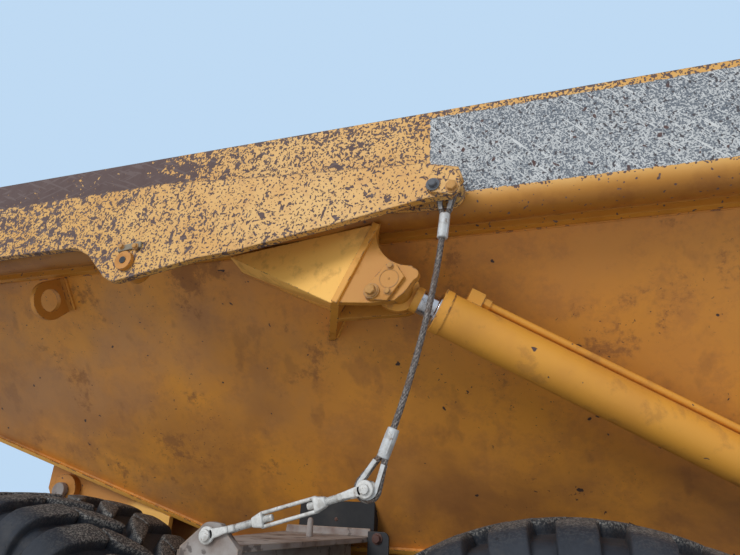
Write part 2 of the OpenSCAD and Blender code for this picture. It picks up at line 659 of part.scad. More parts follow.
// Side arm: a long plate from the panel past its pivot to the rope's pin, as steps from
// the pivot (along, up); the front end has an inner cheek so that the rope hangs between
arm_steps = [[-595, 269], [49, 268], [166, 262], [370, 243], [939, 202], [1035, 175], [1046, 141],
    [1015, 92], [947, 91], [719, 51], [389, -2], [254, -13], [-27, -62], [-47, -60], [-76, -43],
    [-154, 36], [-210, 66], [-238, 72], [-575, 70]];
cheek_gap = 43;
cheek_t = 15;
rope_boss = 46;
module gate_arm(side) color(paint) on_ground() on_side(side) {
    rear = gate_r * cos(gate_half) - 6;
    difference() {
        along_y(arm_in, arm_in + arm_t) polygon(concat(
            [for (step = arm_steps) [gate_x + step.x, gate_z + step.y]],
            [[gate_x - rear, gate_z - gate_r * sin(gate_half) * 0.6],
                [gate_x - gate_r - gate_t, gate_z - gate_r * sin(gate_half) * 0.9],
                [gate_x - gate_r - gate_t - gate_rib, gate_z],
                [gate_x - gate_r - gate_t, gate_z + gate_r * sin(gate_half) * 0.9],
                [gate_x - rear, gate_z + arm_steps[0].y + 20]]));
        shaft_y(gate_x, gate_z, gate_pin_r + run, arm_in - 1, arm_in + arm_t + 1);
    }
    // Inner cheek and its spacer
    along_y(arm_in - cheek_gap - cheek_t, arm_in - cheek_gap) union() {
        translate([rope_x, rope_z]) circle(r = rope_boss);
        polygon([[rope_x, rope_z + rope_boss], [rope_x - 270, rope_z + rope_boss + 2],
            [rope_x - 270, rope_z - 30], [rope_x, rope_z - rope_boss]]);
    }
    translate([rope_x - 262, arm_in - cheek_gap - 1, rope_z - 25]) cube([70, cheek_gap + 2, 68]);
    // Doubler and keeper over the rope's pin
    along_y(arm_in + arm_t - 1, arm_in + arm_t + 5) translate([rope_x, rope_z - 8]) circle(r = 44);
    translate([rope_x, arm_in + arm_t + 4, rope_z - 27]) rotate([0, 16, 0]) union() {
        for (x = [-26, 26]) shaft_y(x, 0, 21, 0, 9);
        translate([-26, 0, -21]) cube([52, 9, 42]);
    }
}

// HOISTS

// The rod's eye, the stage and the barrel lie on one line from the upper to the lower pin
hoist_top = [hoist_top_x, hoist_top_y, hoist_top_z];
hoist_low = [hoist_low_x, hoist_low_y, hoist_low_z];
hoist_len = span(hoist_top, hoist_low);
barrel_end = hoist_len - 125;
neck_end = 72;
module hoist_line() aim(hoist_top, hoist_low) children();
// The rod's eye holds a ball on the bracket's pin, and its axis is square to the rod both with
// the body down and with it tipped
ball_r = 46;
eye_half = 20;
rod_foot = 50;
full_tip = 70;
function unit(v) = v / norm(v);
function tipped_back(p, a) = [p.x * cos(a) + p.z * sin(a), p.y, p.z * cos(a) - p.x * sin(a)];
hinge = [hinge_x, 0, hinge_z];
hoist_dir = unit(hoist_low - hoist_top);
tipped_dir = unit(tipped_back(hoist_low - hinge, full_tip) + hinge - hoist_top);
swing_axis = unit(cross(hoist_dir, tipped_dir));
module eye_ring() rotate_extrude() polygon(concat([[62, -eye_half], [62, eye_half]],
    [for (i = [0:6]) on_circle(ball_r + run, asin(eye_half / (ball_r + run)) * (1 - i / 3))]));
module hoist_rod(side) color(steel) on_ground() on_side(side) {
    aim(hoist_top, hoist_top + swing_axis * far) eye_ring();
    hoist_line() translate([0, 0, rod_foot]) cylinder(r = rod_r, h = barrel_end - 80 - rod_foot);
    hoist_line() translate([0, 0, rod_foot]) cylinder(r = rod_r + 2, h = neck_end - rod_foot);
}
module hoist_stage(side) color(steel) on_ground() on_side(side) hoist_line()
    rotate_extrude() polygon([[rod_r + run, gland_gap - 8], [stage_r - 4, gland_gap - 8],
        [stage_r, gland_gap - 4], [stage_r, barrel_end - 50], [rod_r + run, barrel_end - 50]]);
module hoist_barrel(side) color(paint) on_ground() on_side(side) {
    hoist_line() rotate_extrude() polygon([[stage_r + run, gland_gap], [barrel_r + 3, gland_gap],
        [barrel_r + 3, gland_gap + 26], [barrel_r, gland_gap + 26], [barrel_r, barrel_end], [0, barrel_end],
        [0, barrel_end - 30], [stage_r + run, barrel_end - 30]]);
    shaft_y(hoist_low_x, hoist_low_z, 74, hoist_low_y - 45, hoist_low_y + 45);
    hoist_line() translate([0, 0, barrel_end - 1]) cylinder(r = 48, h = hoist_len - barrel_end);
    shaft_y(hoist_low_x, hoist_low_z, 32, hoist_low_y - mount_half + 9, hoist_low_y + mount_half - 9);
    // Port block by the gland, and the pipe along the barrel's upper side
    hoist_line() rotate([0, 0, port_turn]) {
        for (s = [gland_gap + 62, barrel_end - 110]) translate([barrel_r - 6, -21, s]) cube([44, 42, 44]);
        translate([barrel_r + 20, 0, gland_gap + 105]) cylinder(r = 11, h = barrel_end - gland_gap - 214);
        for (s = [gland_gap + 105, barrel_end - 134]) translate([barrel_r + 20, 0, s])
            cylinder(r = 19, h = 25, $fn = 6);
    }
}
port_turn = 180;

// GATE ROPES

// Turnbuckle from the anchor lug to the rope, jaws at both ends
link_len = span([anchor_x, anchor_z], [link_x, link_z]);
link_turn = atan2(link_z - anchor_z, link_x - anchor_x);
jaw_gap = anchor_t / 2 + 3;
jaw_t = 9;
bar_z = 18;
nut_low = 115;
nut_high = 272;
nut_len = 30;
module jaw(pin_r) {
    for (s = [-1, 1]) translate([0, s * (jaw_gap + jaw_t / 2), 0]) rotate([90, 0, 0])
        linear_extrude(jaw_t, center = true) union() {
            circle(r = 19);
            polygon([[0, -19], [30, -12], [62, -11], [62, 11], [30, 12], [0, 19]]);
        }
    translate([53, -jaw_gap - jaw_t, -11]) cube([16, (jaw_gap + jaw_t) * 2, 22]);
    translate([0, -jaw_gap - jaw_t - 6, 0]) rotate([-90, 0, 0]) cylinder(r = pin_r, h = (jaw_gap + jaw_t) * 2 + 12);
    translate([0, -jaw_gap - jaw_t - 8, 0]) rotate([-90, 0, 0]) cylinder(r = pin_r + 4, h = 9);
}
module turnbuckle(side) color(steel) on_ground() on_side(side)
    translate([anchor_x, rope_y, anchor_z]) rotate([0, -link_turn, 0]) {
        jaw(anchor_pin_r);
        translate([link_len, 0, 0]) mirror([1, 0, 0]) jaw(10);
        // Threaded ends, the open body's two nuts and its side bars
        translate([66, 0, 0]) rotate([0, 90, 0]) cylinder(r = 10, h = nut_low + nut_len - 54);
        translate([nut_high - 12, 0, 0]) rotate([0, 90, 0]) cylinder(r = 10, h = link_len - nut_high - 54);
        for (x = [nut_low, nut_high]) translate([x, -16, -bar_z - 6]) cube([nut_len, 32, bar_z * 2 + 12]);
        for (z = [-1, 1]) translate([nut_low + 4, -7, z * bar_z - 5]) cube([nut_high - nut_low + nut_len - 8, 14, 10]);
    }

// Wire rope with a thimble and ferrule at each end, bowed forward between them
thimble_r = 38;
thimble_w = 20;
ferrule_r = 14;
ferrule_len = 72;
end_gap = 82;
up_turn = atan2(rope_z - link_z, rope_x - link_x);
top_end = [rope_x - 6, rope_z - end_gap];
low_end = [link_x + end_gap * cos(up_turn - 12), link_z + end_gap * sin(up_turn - 12)];
module thimble(p, q, hole) along_y(rope_y - thimble_w / 2, rope_y + thimble_w / 2) difference() {
    dir = (q - p) / span(p, q);
    across = [-dir.y, dir.x];
    union() {
        translate(p) circle(r = thimble_r - 4);
        polygon([p + across * (thimble_r - 5), p - across * (thimble_r - 5), q - across * 8, q + across * 8]);
    }
    translate(p) circle(r = hole);
}
module ferrule(p, q) aim([p.x, rope_y, p.y], [q.x, rope_y, q.y]) translate([0, 0, -4])
    cylinder(r = ferrule_r, h = ferrule_len);
module gate_rope(side) color(steel) on_ground() on_side(side) {
    half = span(top_end, low_end) / 2;
    bow_r = (half * half + rope_bow * rope_bow) / (2 * rope_bow);
    mid = (top_end + low_end) / 2;
    along = (top_end - low_end) / (2 * half);
    centre = mid + [-along.y, along.x] * (bow_r - rope_bow);
    a0 = atan2(low_end.y - centre.y, low_end.x - centre.x);
    a1 = atan2(top_end.y - centre.y, top_end.x - centre.x);
    translate([centre.x, rope_y, centre.y]) rotate([90, 0, 0]) rotate([0, 0, a0])
        rotate_extrude(angle = a1 - a0, $fn = 360) translate([bow_r, 0]) circle(r = rope_d / 2, $fn = 16);
    thimble([rope_x, rope_z], top_end, 16);
    thimble([link_x, link_z], low_end, 10 + run);
    ferrule(top_end, low_end);
    ferrule(low_end, top_end);
    shaft_y(rope_x, rope_z, 16.5, rope_y - cheek_gap / 2 + 3, rope_y + cheek_gap / 2 - 3);
}

frame_rails();
hitch_housing();
outrigger("right");  // outrigger_right
outrigger("left");  // outrigger_left
body_pads();
hoist_mount("right");  // hoist_mount_right
hoist_mount("left");  // hoist_mount_left
axle(axle_x);  // axle_middle
axle(-axle_x);  // axle_rear
bogie_beams();
bogie_springs();
torque_rods();
drive_shafts();
lamp_bar();
tail_lamps();
tyre(axle_x, "right");  // tyre_middle_right
rim(axle_x, "right");  // rim_middle_right
tyre(axle_x, "left");  // tyre_middle_left
rim(axle_x, "left");  // rim_middle_left
tyre(-axle_x, "right");  // tyre_rear_right
rim(-axle_x, "right");  // rim_rear_right
tyre(-axle_x, "left");  // tyre_rear_left
rim(-axle_x, "left");  // rim_rear_left
body_floor();
body_side("right");  // body_side_right
body_side("left");  // body_side_left
top_rail("right");  // top_rail_right
top_rail("left");  // top_rail_left
front_wall();
body_sills();
hinge_plates();
hoist_bracket("right");  // hoist_bracket_right
hoist_bracket("left");  // hoist_bracket_left
arm_pivots();
lifting_eyes();
gate_panel();
gate_arm("right");  // gate_arm_right
gate_arm("left");  // gate_arm_left
hoist_rod("right");  // hoist_rod_right
hoist_stage("right");  // hoist_stage_right
hoist_barrel("right");  // hoist_barrel_right
hoist_rod("left");  // hoist_rod_left
hoist_stage("left");  // hoist_stage_left
hoist_barrel("left");  // hoist_barrel_left
turnbuckle("right");  // turnbuckle_right
turnbuckle("left");  // turnbuckle_left
gate_rope("right");  // gate_rope_right
gate_rope("left");  // gate_rope_left
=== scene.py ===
"""Looks of a construction dumper's rear unit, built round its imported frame. Metres; X forward, Y left, Z up."""
import json
import random
from math import acos, atan2, cos, pi, radians, sin, sqrt, tau

import bmesh
import bpy
from mathutils import Matrix, Vector


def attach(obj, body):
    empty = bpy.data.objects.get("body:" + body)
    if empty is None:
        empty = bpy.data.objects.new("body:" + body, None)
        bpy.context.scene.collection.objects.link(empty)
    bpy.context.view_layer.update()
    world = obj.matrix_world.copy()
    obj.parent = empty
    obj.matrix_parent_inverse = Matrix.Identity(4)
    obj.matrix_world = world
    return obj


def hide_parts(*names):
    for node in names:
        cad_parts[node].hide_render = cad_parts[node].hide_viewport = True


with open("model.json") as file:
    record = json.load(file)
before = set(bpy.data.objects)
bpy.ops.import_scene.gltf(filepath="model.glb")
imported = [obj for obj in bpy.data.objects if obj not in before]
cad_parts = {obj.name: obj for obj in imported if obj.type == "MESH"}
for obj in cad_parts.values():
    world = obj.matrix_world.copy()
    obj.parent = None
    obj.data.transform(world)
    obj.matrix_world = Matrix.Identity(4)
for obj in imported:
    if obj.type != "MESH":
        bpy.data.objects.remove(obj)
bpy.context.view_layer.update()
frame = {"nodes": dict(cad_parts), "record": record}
nodes = frame["nodes"]

# Places in the row's frame: the frame's own drawing has its X zero at the middle of the tandem
TANDEM_X = -0.326
SIDES = {"right": -1, "left": 1}


def from_tandem(x, y, z):
    """A place given from the middle of the tandem, as a vector in the row's frame."""
    return Vector((x + TANDEM_X, y, z))


# Shader sums

class Value:
    """A shader socket that takes part in Python sums."""

    def __init__(self, finish, socket):
        self.finish = finish
        self.socket = socket

    def sum(self, operation, *others):
        return self.finish.add("ShaderNodeMath", {"operation": operation}, dict(enumerate((self, *others))))

    def __add__(self, other): return self.sum("ADD", other)
    def __mul__(self, other): return self.sum("MULTIPLY", other)
    def __sub__(self, other): return self.sum("SUBTRACT", other)
    def __rsub__(self, other): return self.finish.add("ShaderNodeMath", {"operation": "SUBTRACT"}, {0: other, 1: self})
    def __truediv__(self, other): return self.sum("DIVIDE", other)
    def __pow__(self, other): return self.sum("POWER", other)
    __radd__, __rmul__ = __add__, __mul__

    def step(self, low, high):
        """0 below low, 1 above high, smooth between."""
        return self.finish.add("ShaderNodeMapRange", {"interpolation_type": "SMOOTHSTEP"},
                               {"Value": self, "From Min": low, "From Max": high})

    def most(self, other): return self.sum("MAXIMUM", other)
    def size(self): return self.sum("ABSOLUTE")


class Finish:
    """A material whose nodes are added by name."""

    def __init__(self, name):
        self.material = bpy.data.materials.new(name)
        self.material.use_nodes = True
        self.tree = self.material.node_tree
        self.tree.nodes.clear()
        self.place = self.add("ShaderNodeTexCoord", out="Object")

    def add(self, kind, settings=None, inputs=None, out=0):
        node = self.tree.nodes.new(kind)
        for key, value in (settings or {}).items():
            setattr(node, key, value)
        for key, value in (inputs or {}).items():
            if isinstance(value, Value):
                self.tree.links.new(value.socket, node.inputs[key])
            else:
                node.inputs[key].default_value = value
        return Value(self, node.outputs[out])

    def axes(self):
        split = self.add("ShaderNodeSeparateXYZ", inputs={0: self.place})
        node = split.socket.node
        return [Value(self, node.outputs[i]) for i in range(3)]

    def stretched(self, lengths, turn=(0, 0, 0)):
        """Places for a pattern drawn out along turned axes."""
        return self.add("ShaderNodeMapping", {"vector_type": "TEXTURE"},
                        {"Vector": self.place, "Scale": lengths, "Rotation": turn})

    def noise(self, scale, detail=4, rough=0.55, bend=0, at=None):
        return self.add("ShaderNodeTexNoise", inputs={"Vector": at or self.place, "Scale": scale, "Detail": detail,
                                                      "Roughness": rough, "Distortion": bend})

    def patches(self, level, soft, *scale, **noise):
        """1 where noise is above a level, with soft rims."""
        return (self.noise(*scale, **noise) - level).step(0, soft)

    def mix(self, share, first, second):
        """A colour between two, by a share of the second."""
        first, second = (colour if isinstance(colour, Value) else (*colour, 1) for colour in (first, second))
        return self.add("ShaderNodeMix", {"data_type": "RGBA", "clamp_factor": True},
                        {0: share, 6: first, 7: second}, out=2)

    def soft_edge(self, radius):
        return self.add("ShaderNodeBevel", {"samples": 4}, {"Radius": radius})

    def edge_mask(self, radius, keen=0.05):
        """1 on outer edges within a radius, 0 on flat faces."""
        flat = self.add("ShaderNodeNewGeometry", out="Normal")
        turned = self.add("ShaderNodeVectorMath", {"operation": "DOT_PRODUCT"},
                          {0: self.soft_edge(radius), 1: flat}, out="Value")
        return (1 - turned).step(keen * 0.2, keen)

    def coat(self, share, colour):
        """Lays a colour over what is there."""
        self.colour = self.mix(share, self.colour, colour)

    def finish(self, rough, relief=None, metal=0):
        """Ends the material in one shader; relief is a height, its strength and depth, and edges' rounding."""
        inputs = {"Base Color": self.colour, "Roughness": rough, "Metallic": metal}
        if relief:
            bump = dict(zip(("Height", "Strength", "Distance"), relief))
            if len(relief) > 3:
                bump["Normal"] = self.soft_edge(relief[3])
            inputs["Normal"] = self.add("ShaderNodeBump", inputs=bump)
        shader = self.add("ShaderNodeBsdfPrincipled", inputs=inputs)
        end = self.tree.nodes.new("ShaderNodeOutputMaterial")
        self.tree.links.new(shader.socket, end.inputs["Surface"])
        return self.material


# Sizes that the frame's drawing gives, from the middle of the tandem
TYRE_R = 0.800
AXLE_X = 0.850
TRACK_HALF = 1.175
FLOOR_Z = 1.440
FLOOR_HALF = 0.500
PANEL_RISE = 1.28
ARM_FACE_Y = 1.510
LUG_FACE_Y = 1.402
KEEPER_FACE_Y = 1.414
HOIST_TOP = Vector((0.418, 1.320, 2.181))
HOIST_LOW = Vector((1.900, 0.698, 1.455))
HOIST_DIR = (HOIST_LOW - HOIST_TOP).normalized()
BARREL_R = 0.064
PAINTED_EYE = 0.072
GLAND = 0.127


# Paint colours and their wear
YELLOW = (0.66, 0.325, 0.062)
YELLOW_PALE = (0.74, 0.42, 0.12)
HOIST_YELLOW = (0.75, 0.335, 0.040)
OCHRE = (0.66, 0.265, 0.040)
OCHRE_WARM = (0.74, 0.300, 0.032)
OCHRE_DARK = (0.30, 0.120, 0.035)
STAIN = (0.22, 0.085, 0.030)
CHIP_BROWN = (0.095, 0.052, 0.046)
WORN_BROWN = (0.135, 0.090, 0.082)
RUST = (0.20, 0.085, 0.035)

# Where the wear lies, in the row's frame
SCOURED_X = (-0.92, -0.50)
BAND_X = 0.208
BAND_Z = (2.421, 2.688)
RAIL_FACE_Y = 1.40
ARM_Y = 1.478


def chips(f, size, density, bend=0.5):
    """Worm-shaped chips about as wide as size; density may be a number or a mask, 0 bare paint, 1 bare steel."""
    worms = f.noise(0.55 / size, detail=2.5, rough=0.55, bend=bend)
    groups = f.noise(0.09 / size, detail=2, rough=0.5)
    level = 0.665 - density * 0.33 - (groups - 0.5) * 0.30
    return (worms - level).step(-0.006, 0.010)


def dots(f, size, rare):
    """Small round chips."""
    return (f.noise(0.62 / size, detail=1, rough=0.3) - rare).step(-0.004, 0.012)


def gouges(f, size, rare, lean=0.28, long=2.6):
    """Chips drawn out upwards, their tops to the front."""
    drawn = f.stretched((1, 1, long), (0, lean, 0))
    return (f.noise(0.55 / size, detail=3, rough=0.6, bend=0.35, at=drawn) - rare).step(-0.004, 0.010)


def scratches(f, turn, length, scale, rare):
    """Thin lines that run along a direction turned about Y."""
    lines = f.noise(scale, detail=1, rough=0.4, at=f.stretched((length, 2, 1), (0, turn, 0)))
    return (lines - rare).step(0, 0.018)


def bare_steel(f):
    """Brown steel under the paint, with pale scuffs."""
    brown = f.mix(f.noise(34, detail=5), CHIP_BROWN, WORN_BROWN)
    scuffs = scratches(f, 0.45, 9, 90, 0.60).most(scratches(f, -0.3, 12, 120, 0.63))
    return f.mix(scuffs * 0.15, brown, (0.33, 0.27, 0.25))


def rail_paint():
    """Top rails: chipped yellow, scoured brown at the rear, a grey band along the front; painted shade below the bend
    and a painted shadow under the rail.
    """
    f = Finish("rail_chipped_paint")
    x, y, z = f.axes()
    side = y.size()
    upright = side.step(RAIL_FACE_Y - 0.012, RAIL_FACE_Y + 0.006)
    kept = 1 - (upright * z.step(2.388, 2.425)).most(z.step(2.706, 2.711))
    ragged = (f.noise(4, detail=5, rough=0.6) - 0.5) * 0.7
    scoured = 1 - (x + ragged).step(*SCOURED_X)
    upper = z.step(2.600, 2.700)
    edge = f.edge_mask(0.007)
    small = chips(f, 0.0065, scoured * 0.66 + upper * 0.12 + edge * 0.22 + 0.22 - kept * 1.1)
    large = chips(f, 0.022, scoured * 0.58 + edge * 0.1 + 0.12 - upper * x.step(0, 0.3) * 0.3 - kept * 1.1)
    gone = small.most(large).most(gouges(f, 0.011, 0.640 + kept * 0.4)).most(dots(f, 0.0042, 0.600 + kept * 0.4))
    gone = gone.most(dots(f, 0.008, 0.715))
    cloud = f.noise(3.2, detail=5, rough=0.6)
    paint = f.mix(cloud.step(0.35, 0.70), YELLOW, YELLOW_PALE)
    # Painted shade: below the bend the yellow turns darker, standing for the rail's underside turned from the light.
    below = 1 - z.step(2.372, 2.440)
    paint = f.mix(below * 0.9, paint, (0.58, 0.235, 0.018))
    grime = f.patches(0.46, 0.16, 9, detail=6, rough=0.62)
    # Painted shadow: the dark brown under the rail stands for the shadow the rail casts; the grime patches below the
    # bend are partly dirt, partly painted shade.
    under = (1 - z.step(2.358, 2.422)) * side.step(1.30, 1.34)
    paint = f.mix(grime * below * 0.25 + under * 0.70, paint, (0.30, 0.105, 0.012))
    f.colour = f.mix(gone, paint, bare_steel(f))
    # Grey band: blue-grey film with pale specks, slanted scratches and chips, a few yellow flakes
    ragged_edge = (f.noise(70, detail=4) - 0.5) * 0.010
    low, high = BAND_Z
    band = ((x + ragged_edge).step(BAND_X - 0.001, BAND_X + 0.001) * (z + ragged_edge).step(low, low + 0.002)
            * (1 - (z + ragged_edge).step(high, high + 0.003)) * upright)
    patches = f.noise(5, detail=4, rough=0.6)
    grain = f.noise(230, detail=2, rough=0.6)
    pale = (grain - 0.515 + (patches - 0.5) * 0.22).step(-0.05, 0.06) * 0.80
    for turn, length, scale, rare in ((0.95, 8, 210, 0.665), (0.80, 18, 150, 0.705), (-0.15, 8, 210, 0.690),
                                      (1.30, 6, 210, 0.680), (-0.55, 7, 210, 0.700)):
        pale = pale.most(scratches(f, turn, length, scale, rare - (patches - 0.5) * 0.12))
    grey = f.mix(patches, (0.105, 0.125, 0.155), (0.170, 0.180, 0.190))
    grey = f.mix(pale, grey, (0.62, 0.62, 0.60))
    grey = f.mix(dots(f, 0.006, 0.655), grey, (0.070, 0.062, 0.066))
    slant = gouges(f, 0.015, 0.700, -0.55, 2.8).most(dots(f, 0.013, 0.735))
    grey = f.mix(slant, grey, CHIP_BROWN)
    flakes = f.patches(0.650, 0.015, 6, detail=6, rough=0.72) * chips(f, 0.010, 0.60)
    grey = f.mix(flakes, grey, (0.60, 0.29, 0.06))
    f.coat(band, grey)
    height = (1 - gone) * 0.7 + (1 - band * slant) * 0.3 + f.noise(110, detail=3) * 0.2
    return f.finish(rough=0.46 + gone * 0.30 + f.noise(40) * 0.12 + band * 0.12,
                    relief=(height, 0.6, 0.0013, 0.005))


def arm_paint():
    """Tailgate arms: yellow with dots, worms and upright gouges, thick at the rear and along the edges."""
    f = Finish("arm_chipped_paint")
    x, y, z = f.axes()
    rear = 1 - x.step(-1.30, 0.05)
    edge = f.edge_mask(0.008)
    face = y.size().step(ARM_Y + 0.02, ARM_Y + 0.03)
    low_edge = edge * (1 - face) * 0.35
    small = chips(f, 0.0060, rear * 0.22 + edge * 0.30 + 0.07)
    middle = chips(f, 0.013, rear * 0.26 + edge * 0.20 + 0.02 + low_edge)
    gone = small.most(middle).most(gouges(f, 0.010, 0.645 - rear * 0.03))
    gone = gone.most(gouges(f, 0.024, 0.665 - rear * 0.05, 0.35, 1.8))
    gone = gone.most(dots(f, 0.0048, 0.618 - rear * 0.02))
    cloud = f.noise(4, detail=5, rough=0.6)
    paint = f.mix(cloud.step(0.35, 0.70), YELLOW, YELLOW_PALE)
    paint = f.mix(f.patches(0.50, 0.16, 26, detail=5, rough=0.7) * 0.35, paint, (0.50, 0.22, 0.05))
    stained = edge * f.patches(0.42, 0.08, 24, detail=4)
    paint = f.mix(stained * 0.6, paint, RUST)
    f.colour = f.mix(gone, paint, bare_steel(f))
    height = (1 - gone) * 0.8 + f.noise(110, detail=3) * 0.2
    return f.finish(rough=0.45 + gone * 0.32 + cloud * 0.1,
                    relief=(height, 0.6, 0.0014, 0.005))


def dusty_panel_paint():
    """Side panels, floor, front wall and tailgate: ochre paint, soft brown clouds, speckled stains and painted shade
    towards the bottom.
    """
    f = Finish("panel_dusty_paint")
    x, y, z = f.axes()
    clouds = f.noise(1.5, detail=5, rough=0.55)
    mottled = f.noise(7.5, detail=7, rough=0.66)
    fine = f.noise(46, detail=4, rough=0.7)
    rear = 1 - x.step(-1.8, 0.9)
    paint = f.mix(clouds.step(0.38, 0.64), OCHRE, OCHRE_WARM)
    paint = f.mix((mottled * 0.7 + fine * 0.3 - 0.46).step(0, 0.16) * 0.42, paint, (0.42, 0.160, 0.040))
    haze = f.noise(2.6, detail=6, rough=0.6).step(0.40, 0.68) * (rear * 0.45 + 0.10)
    paint = f.mix(haze, paint, (0.36, 0.190, 0.095))
    # Painted shade: dark ochre clouds, thicker towards the bottom, stand for the shade low on the panels by the tyres.
    low = 1 - z.step(1.55, 2.15)
    shade = f.noise(2.0, detail=6, rough=0.6, bend=0.3).step(0.40, 0.66)
    paint = f.mix(shade * (low * 0.72 + 0.14), paint, OCHRE_DARK)
    # Stains: speckled at their rims, solid in the middle
    blot = f.noise(3.1, detail=3, rough=0.55, bend=0.25)
    stain = (blot + (fine - 0.5) * 0.30 + (mottled - 0.5) * 0.30 - 0.60).step(0, 0.10)
    f.colour = f.mix(stain * 0.55, paint, STAIN)
    runs = f.noise(9, detail=4, at=f.stretched((1, 1, 7)))
    f.coat((runs - 0.57).step(0, 0.10) * 0.30, STAIN)
    pits = f.patches(0.748, 0.012, 30, detail=2, rough=0.4, bend=0.3)
    nicks = f.patches(0.70, 0.015, 85, detail=2, rough=0.5, bend=0.6) * (clouds - 0.46).step(0, 0.06)
    gone = pits.most(nicks * 0.8)
    f.coat(gone, (0.060, 0.032, 0.024))
    # The floor's flange beyond the panels: clean bright yellow, chipped along its edge
    past = y.size() - (z - FLOOR_Z) / PANEL_RISE - FLOOR_HALF
    flange = past.step(0.005, 0.008) * (1 - z.step(2.25, 2.30))
    f.coat(flange * (0.80 + mottled * 0.2), (0.80, 0.390, 0.060))
    edge = f.edge_mask(0.006)
    worn = edge * (f.noise(30, detail=4, bend=0.4) - 0.56 + flange * 0.03).step(0, 0.02)
    f.coat(worn, CHIP_BROWN)
    height = mottled * 0.5 + fine * 0.25 - gone * 0.6 - worn * 0.5 + clouds * 0.8
    return f.finish(rough=0.50 + mottled * 0.16 + stain * 0.12,
                    relief=(height, 0.35, 0.0025, 0.004))


def along_hoist(f):
    """Distance along either hoist's line from its upper pin."""
    x, y, z = f.axes()
    return ((x - (HOIST_TOP.x + TANDEM_X)) * HOIST_DIR.x + (y.size() - HOIST_TOP.y) * HOIST_DIR.y
            + (z - HOIST_TOP.z) * HOIST_DIR.z)


def hoist_paint(name="hoist_yellow_paint", deep=HOIST_YELLOW):
    """Hoist barrels, brackets and hinge plates: cleaner yellow with rust lines and a few chips along edges, with a
    painted highlight on the bracket's fairing and painted shade on its lug.
    """
    f = Finish(name)
    clouds = f.noise(4.0, detail=5, rough=0.6)
    along = along_hoist(f)
    # Painted light: the fairing is coated a brighter yellow and the lug face a darker one, for the light and shade
    # that fall on them.
    fairing = (1 - along.step(-0.153, -0.151)) * along.step(-0.70, -0.62)
    lug = along.step(-0.131, -0.129) * (1 - along.step(0.05, 0.09))
    f.colour = f.mix(clouds.step(0.40, 0.66) * 0.45, deep, (0.58, 0.240, 0.038))
    f.coat(fairing * (0.70 + clouds * 0.3), (0.98, 0.545, 0.120))
    f.coat(lug * 0.80, (0.50, 0.205, 0.022))
    grime = f.patches(0.52, 0.14, 13, detail=6, rough=0.65)
    f.coat(grime * 0.35, OCHRE_DARK)
    nicks = f.patches(0.750, 0.012, 34, detail=2, bend=0.4)
    edge = f.edge_mask(0.005)
    worn = edge * f.patches(0.545, 0.02, 34, detail=4, bend=0.5)
    rubbed = edge * (1 - worn)
    f.coat(rubbed * 0.35, (0.80, 0.42, 0.10))
    gone = nicks.most(worn)
    f.coat(gone, CHIP_BROWN)
    return f.finish(rough=0.56 + grime * 0.18 + gone * 0.15,
                    relief=(clouds * 0.6 - gone * 0.5 + f.noise(120) * 0.12, 0.30, 0.0016, 0.004))


def chassis_paint():
    """Frame, axles and rods: dark paint under a coat of dried mud."""
    f = Finish("chassis_muddy_paint")
    mud = f.noise(5, detail=8, rough=0.68).step(0.40, 0.62)
    f.colour = f.mix(f.noise(22, detail=5), (0.060, 0.052, 0.046), (0.115, 0.090, 0.070))
    f.coat(mud * 0.75, (0.215, 0.165, 0.115))
    edge = f.edge_mask(0.006) * f.patches(0.45, 0.04, 40, detail=4)
    f.coat(edge * 0.6, (0.19, 0.11, 0.07))
    return f.finish(rough=0.68 + mud * 0.2,
                    relief=(mud * 0.6 + f.noise(60, detail=5) * 0.5, 0.5, 0.004, 0.005))


def rusty_plate(name="outrigger_rusty_steel", base=(0.215, 0.150, 0.115)):
    """Outriggers and anchor lugs: rust under grey-tan dust, brighter along the edges."""
    f = Finish(name)
    grain = f.noise(45, detail=6, rough=0.65)
    f.colour = f.mix(grain, (0.110, 0.070, 0.052), base)
    f.coat(f.noise(6, detail=6).step(0.32, 0.58) * 0.80, (0.400, 0.370, 0.345))
    f.coat(f.patches(0.58, 0.05, 18, detail=5) * 0.7, (0.062, 0.045, 0.040))
    edge = f.edge_mask(0.006) * f.patches(0.40, 0.08, 25, detail=4)
    f.coat(edge * 0.6, (0.42, 0.30, 0.20))
    return f.finish(rough=0.86,
                    relief=(grain + f.noise(110, detail=4) * 0.5, 0.6, 0.0022, 0.004))


def galvanised(name="galvanised_steel", pale=(0.66, 0.64, 0.60)):
    """Turnbuckles, ferrules and thimbles: pale zinc with grime in the hollows."""
    f = Finish(name)
    cells = f.add("ShaderNodeTexVoronoi", inputs={"Vector": f.place, "Scale": 160})
    f.colour = f.mix(cells * 1.1, (0.50, 0.485, 0.455), pale)
    f.coat(f.patches(0.50, 0.14, 38, detail=5) * 0.45, (0.24, 0.205, 0.165))
    f.coat(f.patches(0.62, 0.04, 70, detail=5) * 0.6, (0.20, 0.115, 0.065))
    return f.finish(metal=0.25, rough=0.50 + f.noise(30) * 0.2,
                    relief=(f.noise(140, detail=4), 0.35, 0.0008, 0.0015))


def chrome():
    """Hoist rods and stages: yellow up to the scraper, then hard chrome with a thin film of dust."""
    f = Finish("hoist_chrome")
    film = f.noise(30, detail=5).step(0.45, 0.75)
    rings = f.noise(4, detail=3)
    along = along_hoist(f)
    painted = 1 - along.step(PAINTED_EYE - 0.001, PAINTED_EYE + 0.001)
    grime = f.patches(0.50, 0.12, 24, detail=5, rough=0.65)
    paint = f.mix(grime * 0.5, HOIST_YELLOW, OCHRE_DARK)
    f.colour = f.mix(painted, f.mix(film * 0.5, (0.62, 0.62, 0.64), (0.30, 0.27, 0.24)), paint)
    return f.finish(metal=1 - painted, rough=0.16 + film * 0.22 + rings * 0.05 + painted * 0.3,
                    relief=(f.noise(120) * 0.2 + film * 0.2, 0.2, 0.0008, 0.002))


